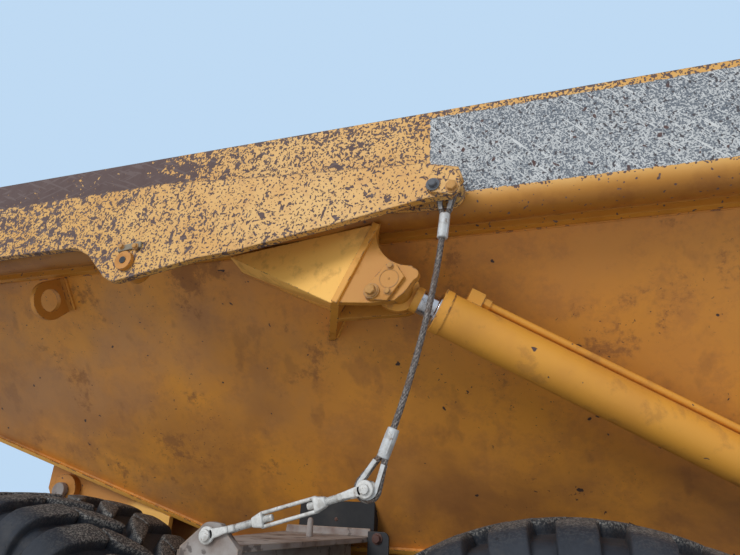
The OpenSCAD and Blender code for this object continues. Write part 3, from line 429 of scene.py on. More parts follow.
def wire():
    """Rope strands: dark greased steel with worn pale crowns."""
    f = Finish("rope_wire")
    lay = f.noise(300, detail=3, at=f.stretched((1, 1, 2)))
    f.colour = f.mix(lay.step(0.40, 0.62), (0.085, 0.070, 0.062), (0.26, 0.225, 0.20))
    f.coat(f.patches(0.54, 0.08, 40, detail=4) * 0.5, (0.15, 0.085, 0.05))
    return f.finish(metal=0.35, rough=0.50, relief=(lay, 0.6, 0.0006))


def tyre_rubber():
    """Tyres: blue-black rubber, lug tops speckled with grey-brown dust."""
    f = Finish("tyre_dusty_rubber")
    x, y, z = f.axes()
    along = (x - TANDEM_X).size() - AXLE_X
    radius = (along * along + (z - TYRE_R) ** 2) ** 0.5
    crown = radius.step(TYRE_R - 0.022, TYRE_R - 0.010)
    shoulder = radius.step(TYRE_R - 0.06, TYRE_R - 0.02)
    speckle = f.noise(170, detail=2, rough=0.7)
    cloud = f.noise(5, detail=6, rough=0.62)
    fine = f.noise(70, detail=5, rough=0.6)
    f.colour = f.mix(fine, (0.008, 0.010, 0.015), (0.020, 0.025, 0.036))
    f.coat(cloud.step(0.42, 0.68) * 0.45, (0.040, 0.045, 0.056))
    grit = (speckle - 0.50).step(-0.05, 0.10)
    f.coat(grit * crown * 0.80 + grit * shoulder * 0.10, (0.255, 0.235, 0.205))
    f.coat(crown * (1 - grit) * 0.5, (0.048, 0.043, 0.038))
    dirt = f.patches(0.52, 0.14, 12, detail=6, rough=0.7) * (1 - crown)
    f.coat(dirt * 0.18, (0.10, 0.085, 0.070))
    nicks = f.patches(0.66, 0.02, 30, detail=5, bend=0.5)
    f.coat(nicks * 0.7, (0.010, 0.010, 0.011))
    height = fine * 0.5 + speckle * crown * 0.5 + cloud * 0.6 - nicks * 0.8
    return f.finish(rough=0.78, relief=(height, 0.6, 0.003, 0.005))


def rim_paint():
    """Rims: yellow under road dirt, worn along the edges."""
    f = Finish("rim_dusty_paint")
    dirt = f.noise(6, detail=7, rough=0.65).step(0.38, 0.64)
    f.colour = f.mix(dirt * 0.7, (0.62, 0.28, 0.045), (0.24, 0.155, 0.09))
    edge = f.edge_mask(0.006) * f.patches(0.45, 0.04, 40, detail=4)
    f.coat(edge * 0.8, CHIP_BROWN)
    return f.finish(rough=0.6 + dirt * 0.2,
                    relief=(dirt * 0.5 + f.noise(80) * 0.3, 0.4, 0.002, 0.005))


def black_rubber():
    """Pads: black rubber with a little dust."""
    f = Finish("pad_black_rubber")
    fine = f.noise(60, detail=5)
    f.colour = f.mix(fine, (0.006, 0.007, 0.009), (0.018, 0.018, 0.020))
    f.coat(f.noise(8, detail=5).step(0.50, 0.72) * 0.25, (0.08, 0.07, 0.06))
    return f.finish(rough=0.72, relief=(fine, 0.4, 0.0015, 0.004))


def red_lens():
    """Tail lamps: dull red with fine ribs."""
    f = Finish("lamp_red_lens")
    ribs = f.noise(90, detail=2, at=f.stretched((20, 1, 20)))
    f.colour = f.mix(f.noise(25, detail=4), (0.36, 0.012, 0.010), (0.22, 0.02, 0.016))
    return f.finish(rough=0.24, relief=(ribs, 0.4, 0.002, 0.006))


def old_bolt(name, base, worn):
    """Fasteners: paint or rust on the head, bare on its corners."""
    f = Finish(name)
    edge = f.edge_mask(0.002)
    f.colour = f.mix(f.noise(120, detail=4), base, tuple(0.6 * c for c in base))
    f.coat(edge * f.patches(0.42, 0.06, 160, detail=3) * 0.8, worn)
    return f.finish(rough=0.55 + f.noise(90) * 0.2, relief=(f.noise(180, detail=3), 0.3, 0.0006))


finishes = {
    "rail_paint": rail_paint(), "body_paint": dusty_panel_paint(), "hoist_paint": hoist_paint(),
    "chassis_paint": chassis_paint(), "rusty_steel": rusty_plate(), "galvanised": galvanised(),
    "chrome_rod": chrome(), "wire_rope": wire(), "tyre": tyre_rubber(), "rim_paint": rim_paint(),
    "rubber": black_rubber(), "lamp_red": red_lens(), "arm": arm_paint(),
    "plate_yellow": hoist_paint("plate_yellow_paint", (0.56, 0.225, 0.030)),
    "pin_brown": rusty_plate("pin_end_brown", (0.115, 0.042, 0.030)),
    "ferrule": galvanised("pressed_aluminium", (0.56, 0.57, 0.57)),
    "yellow_bolt": old_bolt("yellow_painted_bolt", (0.62, 0.30, 0.07), (0.30, 0.24, 0.20)),
    "dark_bolt": old_bolt("dark_steel_bolt", (0.120, 0.125, 0.140), (0.34, 0.34, 0.35)),
    "rusty_bolt": old_bolt("rusty_bolt", (0.105, 0.040, 0.028), (0.26, 0.13, 0.08)),
    "peg": rusty_plate("peg_rust", (0.17, 0.066, 0.040)),
    "worn_keeper": old_bolt("worn_keeper_steel", (0.30, 0.245, 0.165), (0.44, 0.41, 0.36)),
    "black_paint_and_hole_shade": old_bolt("black_paint_and_painted_hole_shade", (0.022, 0.023, 0.027), (0.13, 0.11, 0.10)),
}
slot_of = {entry["node"]: entry["material_slot"] for entry in frame["record"]["subparts"]}
own_finish = {"gate_arm_right": "arm", "gate_arm_left": "arm", "hinge_plates": "plate_yellow",
              "arm_pivots": "plate_yellow", "lifting_eyes": "plate_yellow"}
for name, piece in nodes.items():
    piece.data.materials.clear()
    piece.data.materials.append(finishes[own_finish.get(name, slot_of[name])])


# Modelling helpers

def clear():
    if bpy.context.mode != "OBJECT":
        bpy.ops.object.mode_set(mode="OBJECT")
    bpy.ops.object.select_all(action="DESELECT")


def take(*pieces):
    """Selects these pieces alone; the first is the active one."""
    clear()
    for piece in pieces:
        piece.select_set(True)
    bpy.context.view_layer.objects.active = pieces[0]


def edit(piece, action="DESELECT", kind="FACE"):
    """Opens a piece's mesh, all of it selected or none."""
    take(piece)
    bpy.ops.object.mode_set(mode="EDIT")
    bpy.ops.mesh.select_mode(type=kind)
    bpy.ops.mesh.select_all(action=action)


def pick(piece, test):
    """Opens a piece's mesh with the faces selected whose normal passes a test."""
    edit(piece)
    mesh = bmesh.from_edit_mesh(piece.data)
    for face in mesh.faces:
        face.select_set(test(face.normal))
    mesh.select_flush_mode()
    bmesh.update_edit_mesh(piece.data)


def extrude(*step):
    bpy.ops.mesh.extrude_region_move(TRANSFORM_OT_translate={"value": step})


def resize(*factors):
    bpy.ops.transform.resize(value=factors)


def settle(piece):
    """Merges doubles and turns the faces outwards."""
    edit(piece, "SELECT")
    bpy.ops.mesh.remove_doubles(threshold=1e-5)
    bpy.ops.mesh.normals_make_consistent(inside=False)
    clear()


def bevel(piece, width, segments=2, angle=30):
    """Rounds the edges sharper than an angle."""
    take(piece)
    modifier = piece.modifiers.new("bevel", "BEVEL")
    modifier.width, modifier.segments = width, segments
    modifier.limit_method, modifier.angle_limit = "ANGLE", radians(angle)
    bpy.ops.object.modifier_apply(modifier=modifier.name)
    return piece


def smooth(piece, angle=35):
    take(piece)
    bpy.ops.object.shade_smooth_by_angle(angle=radians(angle))
    return piece


def add_object(name, data):
    made = bpy.data.objects.new(name, data)
    bpy.context.scene.collection.objects.link(made)
    return made


def place(piece, matrix):
    piece.data.transform(matrix)
    return piece


def copy_of(piece, name, matrix=None):
    """A copy with its own mesh, its place in that mesh."""
    made = piece.copy()
    made.data = piece.data.copy()
    made.name = made.data.name = name
    bpy.context.scene.collection.objects.link(made)
    return place(made, matrix) if matrix else made


def join(name, parts):
    take(*parts)
    if len(parts) > 1:
        bpy.ops.object.join()
    whole = bpy.context.object
    whole.name = whole.data.name = name
    return whole


def drop(*pieces):
    for piece in pieces:
        bpy.data.objects.remove(piece)


def hand_over(piece, body, slot, finish=None):
    """Ends a piece: its finish, taken by the slot's name when no finish is given, and the body it moves with."""
    piece.data.materials.clear()
    piece.data.materials.append(finishes[finish or slot])
    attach(piece, body)
    return piece


def disc(radius, depth, sides=32, foot=(0, 0, 0)):
    """A cylinder along Z that stands on a place."""
    clear()
    bpy.ops.mesh.primitive_cylinder_add(vertices=sides, radius=radius, depth=depth,
                                        location=(foot[0], foot[1], foot[2] + depth / 2))
    bpy.ops.object.transform_apply(location=True, rotation=True, scale=True)
    return bpy.context.object


def block(size, middle=(0, 0, 0)):
    clear()
    bpy.ops.mesh.primitive_cube_add(size=1, location=middle)
    bpy.context.object.scale = size
    bpy.ops.object.transform_apply(location=True, rotation=True, scale=True)
    return bpy.context.object


def draw_line(curve, points, radii=None, closed=False):
    """Adds a line through points to a curve."""
    line = curve.splines.new("POLY")
    line.points.add(len(points) - 1)
    for i, point in enumerate(points):
        line.points[i].co = (*point, 1)
        line.points[i].radius = radii[i] if radii else 1
    line.use_cyclic_u = closed


def tube(name, points, radius, radii=None, closed=False, sides=2):
    """A round bar through points, as a mesh."""
    curve = bpy.data.curves.new(name, "CURVE")
    curve.dimensions = "3D"
    curve.bevel_depth = radius
    curve.bevel_resolution = sides
    curve.use_fill_caps = not closed
    draw_line(curve, points, radii, closed)
    take(add_object(name, curve))
    bpy.ops.object.convert(target="MESH")
    settle(bpy.context.object)
    return bpy.data.objects[name]


def around(count):
    """Angles at even steps round a circle."""
    return [tau * i / count for i in range(count)]


def aimed(direction):
    """Turns Z along a direction."""
    return Vector(direction).to_track_quat("Z", "Y").to_matrix().to_4x4()


def moved(x, y, z):
    """Moves the origin to a place of the frame's drawing."""
    return Matrix.Translation(from_tandem(x, y, z))


def set_at(x, y, z, normal=(0, 0, 1), size=1.0, spin=0.0):
    """Moves a piece that stands on Z = 0 to a place of the frame's drawing, its Z along a direction."""
    return (moved(x, y, z) @ aimed(normal) @ Matrix.Rotation(radians(spin), 4, "Z")
            @ Matrix.Diagonal((size, size, size, 1)))


# Fasteners, each modelled once at the size of a 20 mm bolt

def hex_bolt():
    head = disc(0.0165, 0.013, 6, (0, 0, 0.004))
    pick(head, lambda normal: normal.z > 0.9)
    bpy.ops.mesh.inset(thickness=0.0022)
    bpy.ops.transform.translate(value=(0, 0, 0.0016))
    clear()
    bevel(head, 0.0007)
    return smooth(join("hex_bolt", [head, bevel(disc(0.021, 0.004, 28), 0.0009)]))


def cap_bolt():
    """A round-headed bolt on a broad washer."""
    head = disc(0.0125, 0.012, 24, (0, 0, 0.005))
    pick(head, lambda normal: normal.z > 0.9)
    bpy.ops.mesh.bevel(offset=0.005, segments=4, affect="EDGES")
    clear()
    return smooth(join("cap_bolt", [head, bevel(disc(0.020, 0.005, 28), 0.0012)]))


def nut_on_stud():
    nut = bevel(disc(0.018, 0.016, 6), 0.0015)
    return smooth(join("stud_nut", [nut, bevel(disc(0.0105, 0.026, 16), 0.001, 1)]))


def scatter(name, pattern, places):
    """Copies of a fastener at several places, joined."""
    return join(name, [copy_of(pattern, f"{name}_{i}", spot) for i, spot in enumerate(places)])


def panel_y(z):
    """Outer face of a side panel at a height."""
    return FLOOR_HALF + (z - FLOOR_Z) / PANEL_RISE


def plate_x(along, y, z):
    """X where a plane square to the hoist, some way along it from its upper pin, meets (y, z)."""
    return HOIST_TOP.x + (along - (y - HOIST_TOP.y) * HOIST_DIR.y - (z - HOIST_TOP.z) * HOIST_DIR.z) / HOIST_DIR.x


def mirrored(point, sign):
    return Vector((point[0], point[1] * sign, point[2]))


def placed(point, sign):
    """A place of the left side's drawing, on the side that sign gives."""
    return from_tandem(point[0], point[1] * sign, point[2])


# Welds: rippled beads along the seams

def weld(name, line, radius, sign, step):
    """A bead whose ripples and wander are worked out from its length."""
    random.seed(len(line) + int(radius * 1e5))
    points, radii = [], []
    for a, b in zip(line, line[1:]):
        a, b = Vector(a), Vector(b)
        count = max(2, int((b - a).length / step))
        for i in range(count):
            ripple = 1 + 0.14 * cos(i * pi) + random.uniform(-0.07, 0.07)
            points.append(placed(a.lerp(b, i / count), sign))
            radii.append(ripple)
    points.append(placed(line[-1], sign))
    radii.append(0.8)
    return smooth(tube(name, points, radius, radii, sides=1), 60)


# Seams in the left side's drawing: the bracket's foot, its fairing's top and its end plate, the lifting eye, the floor
FOOT_Z, FAIR_Z = 2.127, 2.205
PLATE_BACK, PLATE_FRONT = -0.152, -0.130
LIFT_X, LIFT_Z = -0.980, 2.325
FLOOR_SEAM_Z = 1.459
CHUTE_RISE = 0.337


def body_welds(side, sign):
    def on_panel(x, z, lift=0.0):
        return x, panel_y(z) + lift, z

    def on_plate(along, *heights):
        return [(plate_x(along, panel_y(z), z), panel_y(z), z) for z in heights]

    chute = [(x, FLOOR_SEAM_Z + max(0, -0.5 - x) * CHUTE_RISE) for x in (-0.5, -1.0, -1.5, -2.0, -2.33)]
    eye = {"eye_front": LIFT_X + 0.026, "eye_rear": LIFT_X - 0.026}
    seams = [
        ("plate_front", on_plate(PLATE_FRONT, FOOT_Z + 0.01, 2.2, 2.28, 2.34), 0.008, 0.007),
        ("plate_back", on_plate(PLATE_BACK, FOOT_Z + 0.01, FAIR_Z), 0.008, 0.007),
        ("fairing", on_plate(PLATE_BACK, FAIR_Z) + [on_panel(-0.182, 2.34)], 0.008, 0.007),
        *((key, [on_panel(x, LIFT_Z + 0.05 - 0.052 * k, 0.004) for k in range(3)], 0.006, 0.007)
          for key, x in eye.items()),
        ("ledge", [on_panel(x, 2.3785) for x in (-2.35, -1.2, 0, 1.2, 2.5)], 0.0035, 0.014),
        ("floor_edge", [on_panel(x, FLOOR_SEAM_Z) for x in (-0.49, 0.5, 1.5, 2.5)], 0.006, 0.014),
        ("chute_edge", [on_panel(x, z) for x, z in chute], 0.006, 0.014),
    ]
    beads = [weld(f"weld_{key}_{side}", line, radius, sign, step) for key, line, radius, step in seams]
    hand_over(join(f"body_welds_{side}", beads), "dump_body", "body_paint")


# Tyres: a spun carcass and curved lugs of two blocks each

LUG_DEPTH = 0.036
LUGS = 34
CROWN_HALF = 0.232
SHOULDER_R = 0.055
SHOULDER_TURN = radians(88)
WALL_TOP = 0.610
CARCASS_STEPS = 102


def tread_line(t):
    """(width, radius, lean) of the carcass at a distance from its middle, over the shoulder and down the wall."""
    flat = TYRE_R - LUG_DEPTH
    if t <= CROWN_HALF:
        drop_off = 0.010 * (t / CROWN_HALF) ** 2
        return t, flat - drop_off, 2 * drop_off / max(t, 1e-6)
    turn = min((t - CROWN_HALF) / SHOULDER_R, SHOULDER_TURN)
    width = CROWN_HALF + SHOULDER_R * sin(turn)
    radius = flat - 0.010 - SHOULDER_R * (1 - cos(turn))
    rest = max(0.0, t - CROWN_HALF - SHOULDER_R * SHOULDER_TURN)
    return width + rest * cos(SHOULDER_TURN), radius - rest * sin(SHOULDER_TURN), turn


def lug_sweep(t):
    """How far round the tread a lug lies at a distance from the middle: it leads at its inner end."""
    return 0.130 * max(0.0, 1 - t / 0.150) ** 1.35


def lug_block(inner, outer, rows, width, height, square):
    """One block of a lug: a grid raised, laid along the tread line; width and height go by the share of its length."""
    clear()
    bpy.ops.mesh.primitive_grid_add(x_subdivisions=6, y_subdivisions=rows, size=2)
    grid = bpy.context.object
    edit(grid, "SELECT")
    extrude(0, 0, 1)
    clear()
    for vertex in grid.data.vertices:
        across, along, up = vertex.co
        share = (along + 1) / 2
        t = inner + (outer - inner) * share
        across_at, radius, lean = tread_line(t)
        rounded = max(0.0, 1 - abs(along) ** square) ** 0.5
        half = width(share) / 2 * (0.70 + 0.30 * rounded) - 0.004 * max(0, up)
        lift = -0.006 + height(share) * (1 - 0.05 * across ** 2) * up
        angle = (lug_sweep(t) + across * half) / TYRE_R
        across_at += lift * sin(lean)
        radius += lift * cos(lean)
        vertex.co = (radius * sin(angle), across_at, radius * cos(angle))
    settle(grid)
    bevel(grid, 0.006, 2, 42)
    return grid


def tyre_model():
    inner = lug_block(0.002, 0.110, 8, lambda s: 0.046 + 0.046 * min(1, s / 0.7) ** 0.8, lambda s: 0.0408, 14)
    outer = lug_block(0.1145, 0.420, 22, lambda s: 0.092 + 0.006 * s, lambda s: 0.0418 - 0.033 * s * s, 18)
    near = join("tread_lugs", [inner, outer])
    far = copy_of(near, "tread_lugs_far",
                  Matrix.Rotation(pi / LUGS, 4, "Y") @ Matrix.Diagonal((1, -1, 1, 1)))
    tread = join("tread", [near, far])
    settle(tread)
    edit(tread, "SELECT")
    bpy.ops.mesh.spin(steps=LUGS - 1, dupli=True, angle=2 * pi * (LUGS - 1) / LUGS, center=(0, 0, 0), axis=(0, 1, 0))
    clear()
    over = [tread_line(i * 0.44 / 26)[:2] for i in range(27)]
    wall = [(0.2935, 0.600), (0.2985, 0.560), (0.2995, 0.545), (0.2970, 0.530), (0.2960, 0.480), (0.2860, 0.435),
            (0.2700, 0.395), (0.2660, 0.388), (0.2690, 0.380), (0.2640, 0.368), (0.2480, 0.350), (0.2250, 0.330),
            (0.2200, 0.318), (0.2000, 0.318), (0.2000, 0.350), (0.2350, 0.420), (0.2580, 0.520), (0.2500, 0.640),
            (0.2150, 0.700), (0.1200, 0.726), (0.0, 0.730)]
    half = [point for point in over if point[1] > WALL_TOP] + wall
    ring = half + [(-width, radius) for width, radius in reversed(half[1:-1])]
    mesh = bpy.data.meshes.new("carcass")
    mesh.from_pydata([(0, width, radius) for width, radius in ring],
                     [(i, (i + 1) % len(ring)) for i in range(len(ring))], [])
    carcass = add_object("carcass", mesh)
    edit(carcass, "SELECT", "EDGE")
    bpy.ops.mesh.spin(steps=CARCASS_STEPS, angle=2 * pi, center=(0, 0, 0), axis=(0, 1, 0))
    settle(carcass)
    return smooth(join("tyre_model", [carcass, tread]), 40)


# A wheel's rings of fasteners: how many, ring's radius, how far outside the tyre's middle, size
RIM_NUTS = (18, 0.196, 0.080, 1.0)
HUB_CAPS = (10, 0.125, 0.254, 0.8)
TYRE_PHASE = {"middle": 5.0, "rear": 22.1}


def make_wheels():
    tyre, stud, bolt = tyre_model(), nut_on_stud(), hex_bolt()
    for axle, axle_x in (("middle", AXLE_X), ("rear", -AXLE_X)):
        for side, sign in SIDES.items():
            body = f"wheel_{axle}_{side}"
            middle = moved(axle_x, sign * TRACK_HALF, TYRE_R)
            worn = copy_of(tyre, f"dressed_tyre_{axle}_{side}",
                           middle @ Matrix.Rotation(radians(TYRE_PHASE[axle]), 4, "Y"))
            hand_over(worn, body, "tyre")
            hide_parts(f"tyre_{axle}_{side}")
            rings = []
            for label, pattern, (count, ring_r, lift, size) in (("nuts", stud, RIM_NUTS), ("caps", bolt, HUB_CAPS)):
                spots = [set_at(axle_x + ring_r * sin(a), sign * (TRACK_HALF + lift), TYRE_R + ring_r * cos(a),
                                (0, sign, 0), size) for a in around(count)]
                rings.append(scatter(f"{label}_{axle}_{side}", pattern, spots))
            hand_over(join(f"wheel_nuts_{axle}_{side}", rings), body, "rim_paint", "rusty_bolt")
    drop(tyre, stud, bolt)


# Gate ropes: six strands round each thimble and down in a shallow bow

ROPE_PIN = (0.590, 2.411)
LINK_PIN = (0.397, 1.637)
ROPE_Y = 1.4635
ROPE_R = 0.0083
ROPE_BOW = 0.020
EYE_R = 0.0262
EYE_SHIFT = 0.004
EYE_REACH = 0.082
LEG_SHIFT = 0.006
LOOP_STEPS, LEG_STEPS, BOW_STEPS = 44, 12, 80
STRANDS = 6
LAY = 0.085
STRAND_STEP = 0.0040
SLEEVE_R, SLEEVE_LEN = 0.0145, 0.072


def rope_ends():
    """The two points where the rope leaves its eyes, as the frame's drawing has them."""
    rise = atan2(ROPE_PIN[1] - LINK_PIN[1], ROPE_PIN[0] - LINK_PIN[0])
    low = rise - radians(12)
    return (Vector((ROPE_PIN[0] - 0.006, ROPE_PIN[1] - EYE_REACH)),
            Vector((LINK_PIN[0] + EYE_REACH * cos(low), LINK_PIN[1] + EYE_REACH * sin(low))))


def bow(top, low):
    """Points of the shallow arc between the eyes; it bends forward."""
    half = (top - low).length / 2
    radius = (half * half + ROPE_BOW * ROPE_BOW) / (2 * ROPE_BOW)
    along = (top - low).normalized()
    across = Vector((along.y, -along.x))
    middle = (top + low) / 2
    return [middle + along * s + across * (sqrt(radius * radius - s * s) - (radius - ROPE_BOW))
            for s in (half - 2 * half * i / BOW_STEPS for i in range(BOW_STEPS + 1))]


def eye_loop(pin, mouth, spread):
    """Points from the ferrule's mouth round the pin and back: a teardrop."""
    toward = (mouth - pin).normalized()
    across = Vector((-toward.y, toward.x))
    centre = pin + toward * EYE_SHIFT
    lean = acos(min(1.0, (spread - LEG_SHIFT) / (mouth - centre).length))
    turns = [lean + (2 * pi - 2 * lean) * i / LOOP_STEPS for i in range(LOOP_STEPS + 1)]
    loop = [centre + (toward * cos(a) + across * sin(a)) * spread for a in turns]
    start, end = mouth + across * LEG_SHIFT, mouth - across * LEG_SHIFT
    return ([start.lerp(loop[0], i / LEG_STEPS) for i in range(LEG_STEPS)] + loop
            + [loop[-1].lerp(end, (i + 1) / LEG_STEPS) for i in range(LEG_STEPS)])


def in_rope_plane(points, sign):
    return [placed((p.x, ROPE_Y, p.y), sign) for p in points]


def stranded(name, path, radius):
    """Strands twisted round a path that lies in a plane of constant Y."""
    strand_r = radius / 3
    ring = radius - strand_r
    parts = []
    length = [0.0]
    for a, b in zip(path, path[1:]):
        length.append(length[-1] + (b - a).length)
    samples = max(24, int(length[-1] / STRAND_STEP))
    route = []
    index = 0
    for i in range(samples + 1):
        wanted = length[-1] * i / samples
        while index < len(length) - 2 and length[index + 1] < wanted:
            index += 1
        share = (wanted - length[index]) / max(1e-9, length[index + 1] - length[index])
        route.append((path[index].lerp(path[index + 1], min(1.0, share)), wanted))
    for strand in range(STRANDS):
        turned = []
        for i, (point, run_so_far) in enumerate(route):
            ahead = route[min(i + 1, samples)][0] - route[max(i - 1, 0)][0]
            side = Vector((0, 1, 0))
            across = ahead.normalized().cross(side)
            a = tau * (strand / STRANDS + run_so_far / LAY)
            turned.append(point + (side * cos(a) + across * sin(a)) * ring)
        parts.append(tube(f"{name}_{strand}", turned, strand_r * 1.06, sides=1))
    return smooth(join(name, parts), 60)


def thimble(name, pin, mouth, sign):
    """The pale liner of an eye: a channel bent round the loop, its lips over the rope's sides."""
    base, lip = EYE_R - ROPE_R - 0.0015, EYE_R + 0.0005
    section = bpy.data.curves.new("channel", "CURVE")
    outline = [(0, -0.0105), (lip - base, -0.0108), (lip - base, -0.0090), (0.0018, -0.0086),
               (0.0018, 0.0086), (lip - base, 0.0090), (lip - base, 0.0108), (0, 0.0105)]
    draw_line(section, [(*point, 0) for point in outline], closed=True)
    profile = add_object("channel", section)
    path = eye_loop(pin, mouth - (mouth - pin).normalized() * 0.016, base)
    curve = bpy.data.curves.new(name, "CURVE")
    curve.dimensions = "2D"
    curve.bevel_mode = "OBJECT"
    curve.bevel_object = profile
    curve.use_fill_caps = True
    draw_line(curve, [(*point, 0) for point in path])
    take(add_object(name, curve))
    bpy.ops.object.convert(target="MESH")
    made = bpy.context.object
    drop(profile)
    upright = Matrix(((1, 0, 0, 0), (0, 0, 1, 0), (0, 1, 0, 0), (0, 0, 0, 1)))
    made.data.transform(Matrix.Translation(placed((0, ROPE_Y, 0), sign)) @ upright)
    settle(made)
    return smooth(made, 45)


def ferrule(name, start, toward, sign):
    """A pressed sleeve: a cylinder drawn in at its ends, with press marks."""
    body = disc(SLEEVE_R, SLEEVE_LEN, 28)
    pick(body, lambda normal: abs(normal.z) > 0.9)
    bpy.ops.mesh.inset(thickness=0.0036)
    clear()
    bevel(body, 0.0032, 3, 50)
    mark_r = SLEEVE_R - 0.001
    marks = [tube(f"{name}_mark_{i}", [(mark_r * cos(a), mark_r * sin(a), 0.010 + 0.052 * k / 6) for k in range(7)],
                  0.0022, sides=1) for i, a in enumerate((0.6, 2.2, 3.8, 5.3))]
    sleeve = smooth(join(name, [body, *marks]))
    begin = placed((start.x, ROPE_Y, start.y), sign)
    return place(sleeve, Matrix.Translation(begin) @ aimed((toward.x, 0, toward.y)))


def gate_rope(side, sign):
    top, low = rope_ends()
    path = bow(top, low)
    ends = (("top", ROPE_PIN, top, path[1] - path[0]), ("low", LINK_PIN, low, path[-2] - path[-1]))
    rope = [stranded(f"rope_run_{side}", in_rope_plane(path, sign), ROPE_R)]
    metal = []
    for label, pin, mouth, ahead in ends:
        pin = Vector(pin)
        loop = eye_loop(pin, mouth, EYE_R)
        rope.append(stranded(f"rope_eye_{label}_{side}", in_rope_plane(loop, sign), ROPE_R * 0.96))
        metal.append(thimble(f"thimble_{label}_{side}", pin, mouth, sign))
        metal.append(ferrule(f"ferrule_{label}_{side}", mouth - ahead.normalized() * 0.004, ahead, sign))
    strands = hand_over(join(f"stranded_rope_{side}", rope), f"gate_rope_{side}", "wire_rope")
    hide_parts(f"gate_rope_{side}")
    ends_of_pin = [placed((ROPE_PIN[0], ROPE_Y + s, ROPE_PIN[1]), sign) for s in (-0.0185, 0.0185)]
    metal.append(tube(f"rope_pin_{side}", ends_of_pin, 0.0150, sides=4))
    hand_over(join(f"rope_fittings_{side}", metal), f"gate_rope_{side}", "wire_rope", "ferrule")


ANCHOR = Vector((0.0, 1.521))
LINK_LEN = (Vector(LINK_PIN) - ANCHOR).length
JAW_GAP = 0.013
JAW_T = 0.009
THREAD_PITCH = 0.0036


def jaw_end(name, pin_r):
    """A fork in the turnbuckle's frame: X from the pin, Y across, Z up."""
    parts = []
    half = JAW_GAP + JAW_T
    for y in (-JAW_GAP - JAW_T / 2, JAW_GAP + JAW_T / 2):
        eye = disc(0.0205, JAW_T, 40, (0, 0, -JAW_T / 2))
        place(eye, Matrix.Translation((0, y, 0)) @ Matrix.Rotation(pi / 2, 4, "X"))
        shank = block((0.050, JAW_T, 0.0145), (0.034, y, 0))
        pick(shank, lambda normal: normal.x < -0.9)
        resize(1, 1, 1.7)
        clear()
        parts += [bevel(piece, 0.0028, 3) for piece in (eye, shank)]
    neck = block((0.024, half * 2, 0.0165), (0.060, 0, 0))
    pick(neck, lambda normal: normal.x > 0.9)
    resize(1, 0.62, 1)
    clear()
    bevel(neck, 0.004, 3)
    across = Matrix.Translation((0, -half - 0.006, 0)) @ Matrix.Rotation(-pi / 2, 4, "X")
    for radius, depth, foot in ((pin_r, half * 2 + 0.012, 0), (pin_r + 0.0015, 0.008, half * 2 + 0.006),
                                (pin_r + 0.0015, 0.006, 0)):
        parts.append(place(bevel(disc(radius, depth, 28, (0, 0, foot)), 0.0014), across))
    return smooth(join(name, [neck, *parts]))


def thread(name, begin, end):
    """A threaded rod along X: a core with its ridge wound round it."""
    core = place(bevel(disc(0.0078, end - begin, 24), 0.002),
                 Matrix.Translation((begin, 0, 0)) @ Matrix.Rotation(pi / 2, 4, "Y"))
    turns = int((end - begin - 0.008) / THREAD_PITCH)
    wound = [(begin + 0.004 + THREAD_PITCH * i / 12, 0.0079 * cos(tau * i / 12), 0.0079 * sin(tau * i / 12))
             for i in range(turns * 12 + 1)]
    return smooth(join(name, [core, tube(f"{name}_ridge", wound, 0.0013, sides=1)]))


def turnbuckle_model():
    """An open forged body with two screwed forks, along X from the anchor's pin."""
    body = []
    for inner, outer in ((0.147, 0.120), (0.280, 0.308)):
        nut = block((abs(outer - inner), 0.027, 0.038), ((inner + outer) / 2, 0, 0))
        ahead = 1 if outer > inner else -1
        pick(nut, lambda normal: normal.x * ahead > 0.9)
        resize(1, 0.84, 0.62)
        extrude(0.004 * ahead, 0, 0)
        resize(1, 0.86, 0.86)
        clear()
        body.append(bevel(nut, 0.0045, 3, 20))
    body += [bevel(block((0.150, 0.014, 0.0085), (0.2135, 0, up * 0.0150)), 0.0034, 3) for up in (-1, 1)]
    near, far = jaw_end("jaw_anchor", 0.012), jaw_end("jaw_link", 0.010)
    place(far, Matrix.Translation((LINK_LEN, 0, 0)) @ Matrix.Diagonal((-1, 1, 1, 1)))
    far.data.flip_normals()
    threads = [thread("thread_anchor", 0.060, 0.170), thread("thread_link", 0.262, LINK_LEN - 0.060)]
    return smooth(join("turnbuckle_model", [*body, near, far, *threads]))


def make_turnbuckles():
    model = turnbuckle_model()
    rise = atan2(LINK_PIN[1] - ANCHOR.y, LINK_PIN[0] - ANCHOR.x)
    for side, sign in SIDES.items():
        spot = moved(ANCHOR.x, sign * ROPE_Y, ANCHOR.y) @ Matrix.Rotation(-rise, 4, "Y")
        made = copy_of(model, f"forged_turnbuckle_{side}", spot @ Matrix.Diagonal((1, sign, 1, 1)))
        settle(made)
        hand_over(smooth(made), f"turnbuckle_{side}", "galvanised")
        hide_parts(f"turnbuckle_{side}")
    drop(model)


# Bolts and keepers at the hoist's bracket, the arm's pivot and the rope's pin

KEEPER_BOLT = (0.370, 2.147)
WASHER_T = 0.006
PIN_GROOVE_R = 0.027
STRIP_Z = 2.243


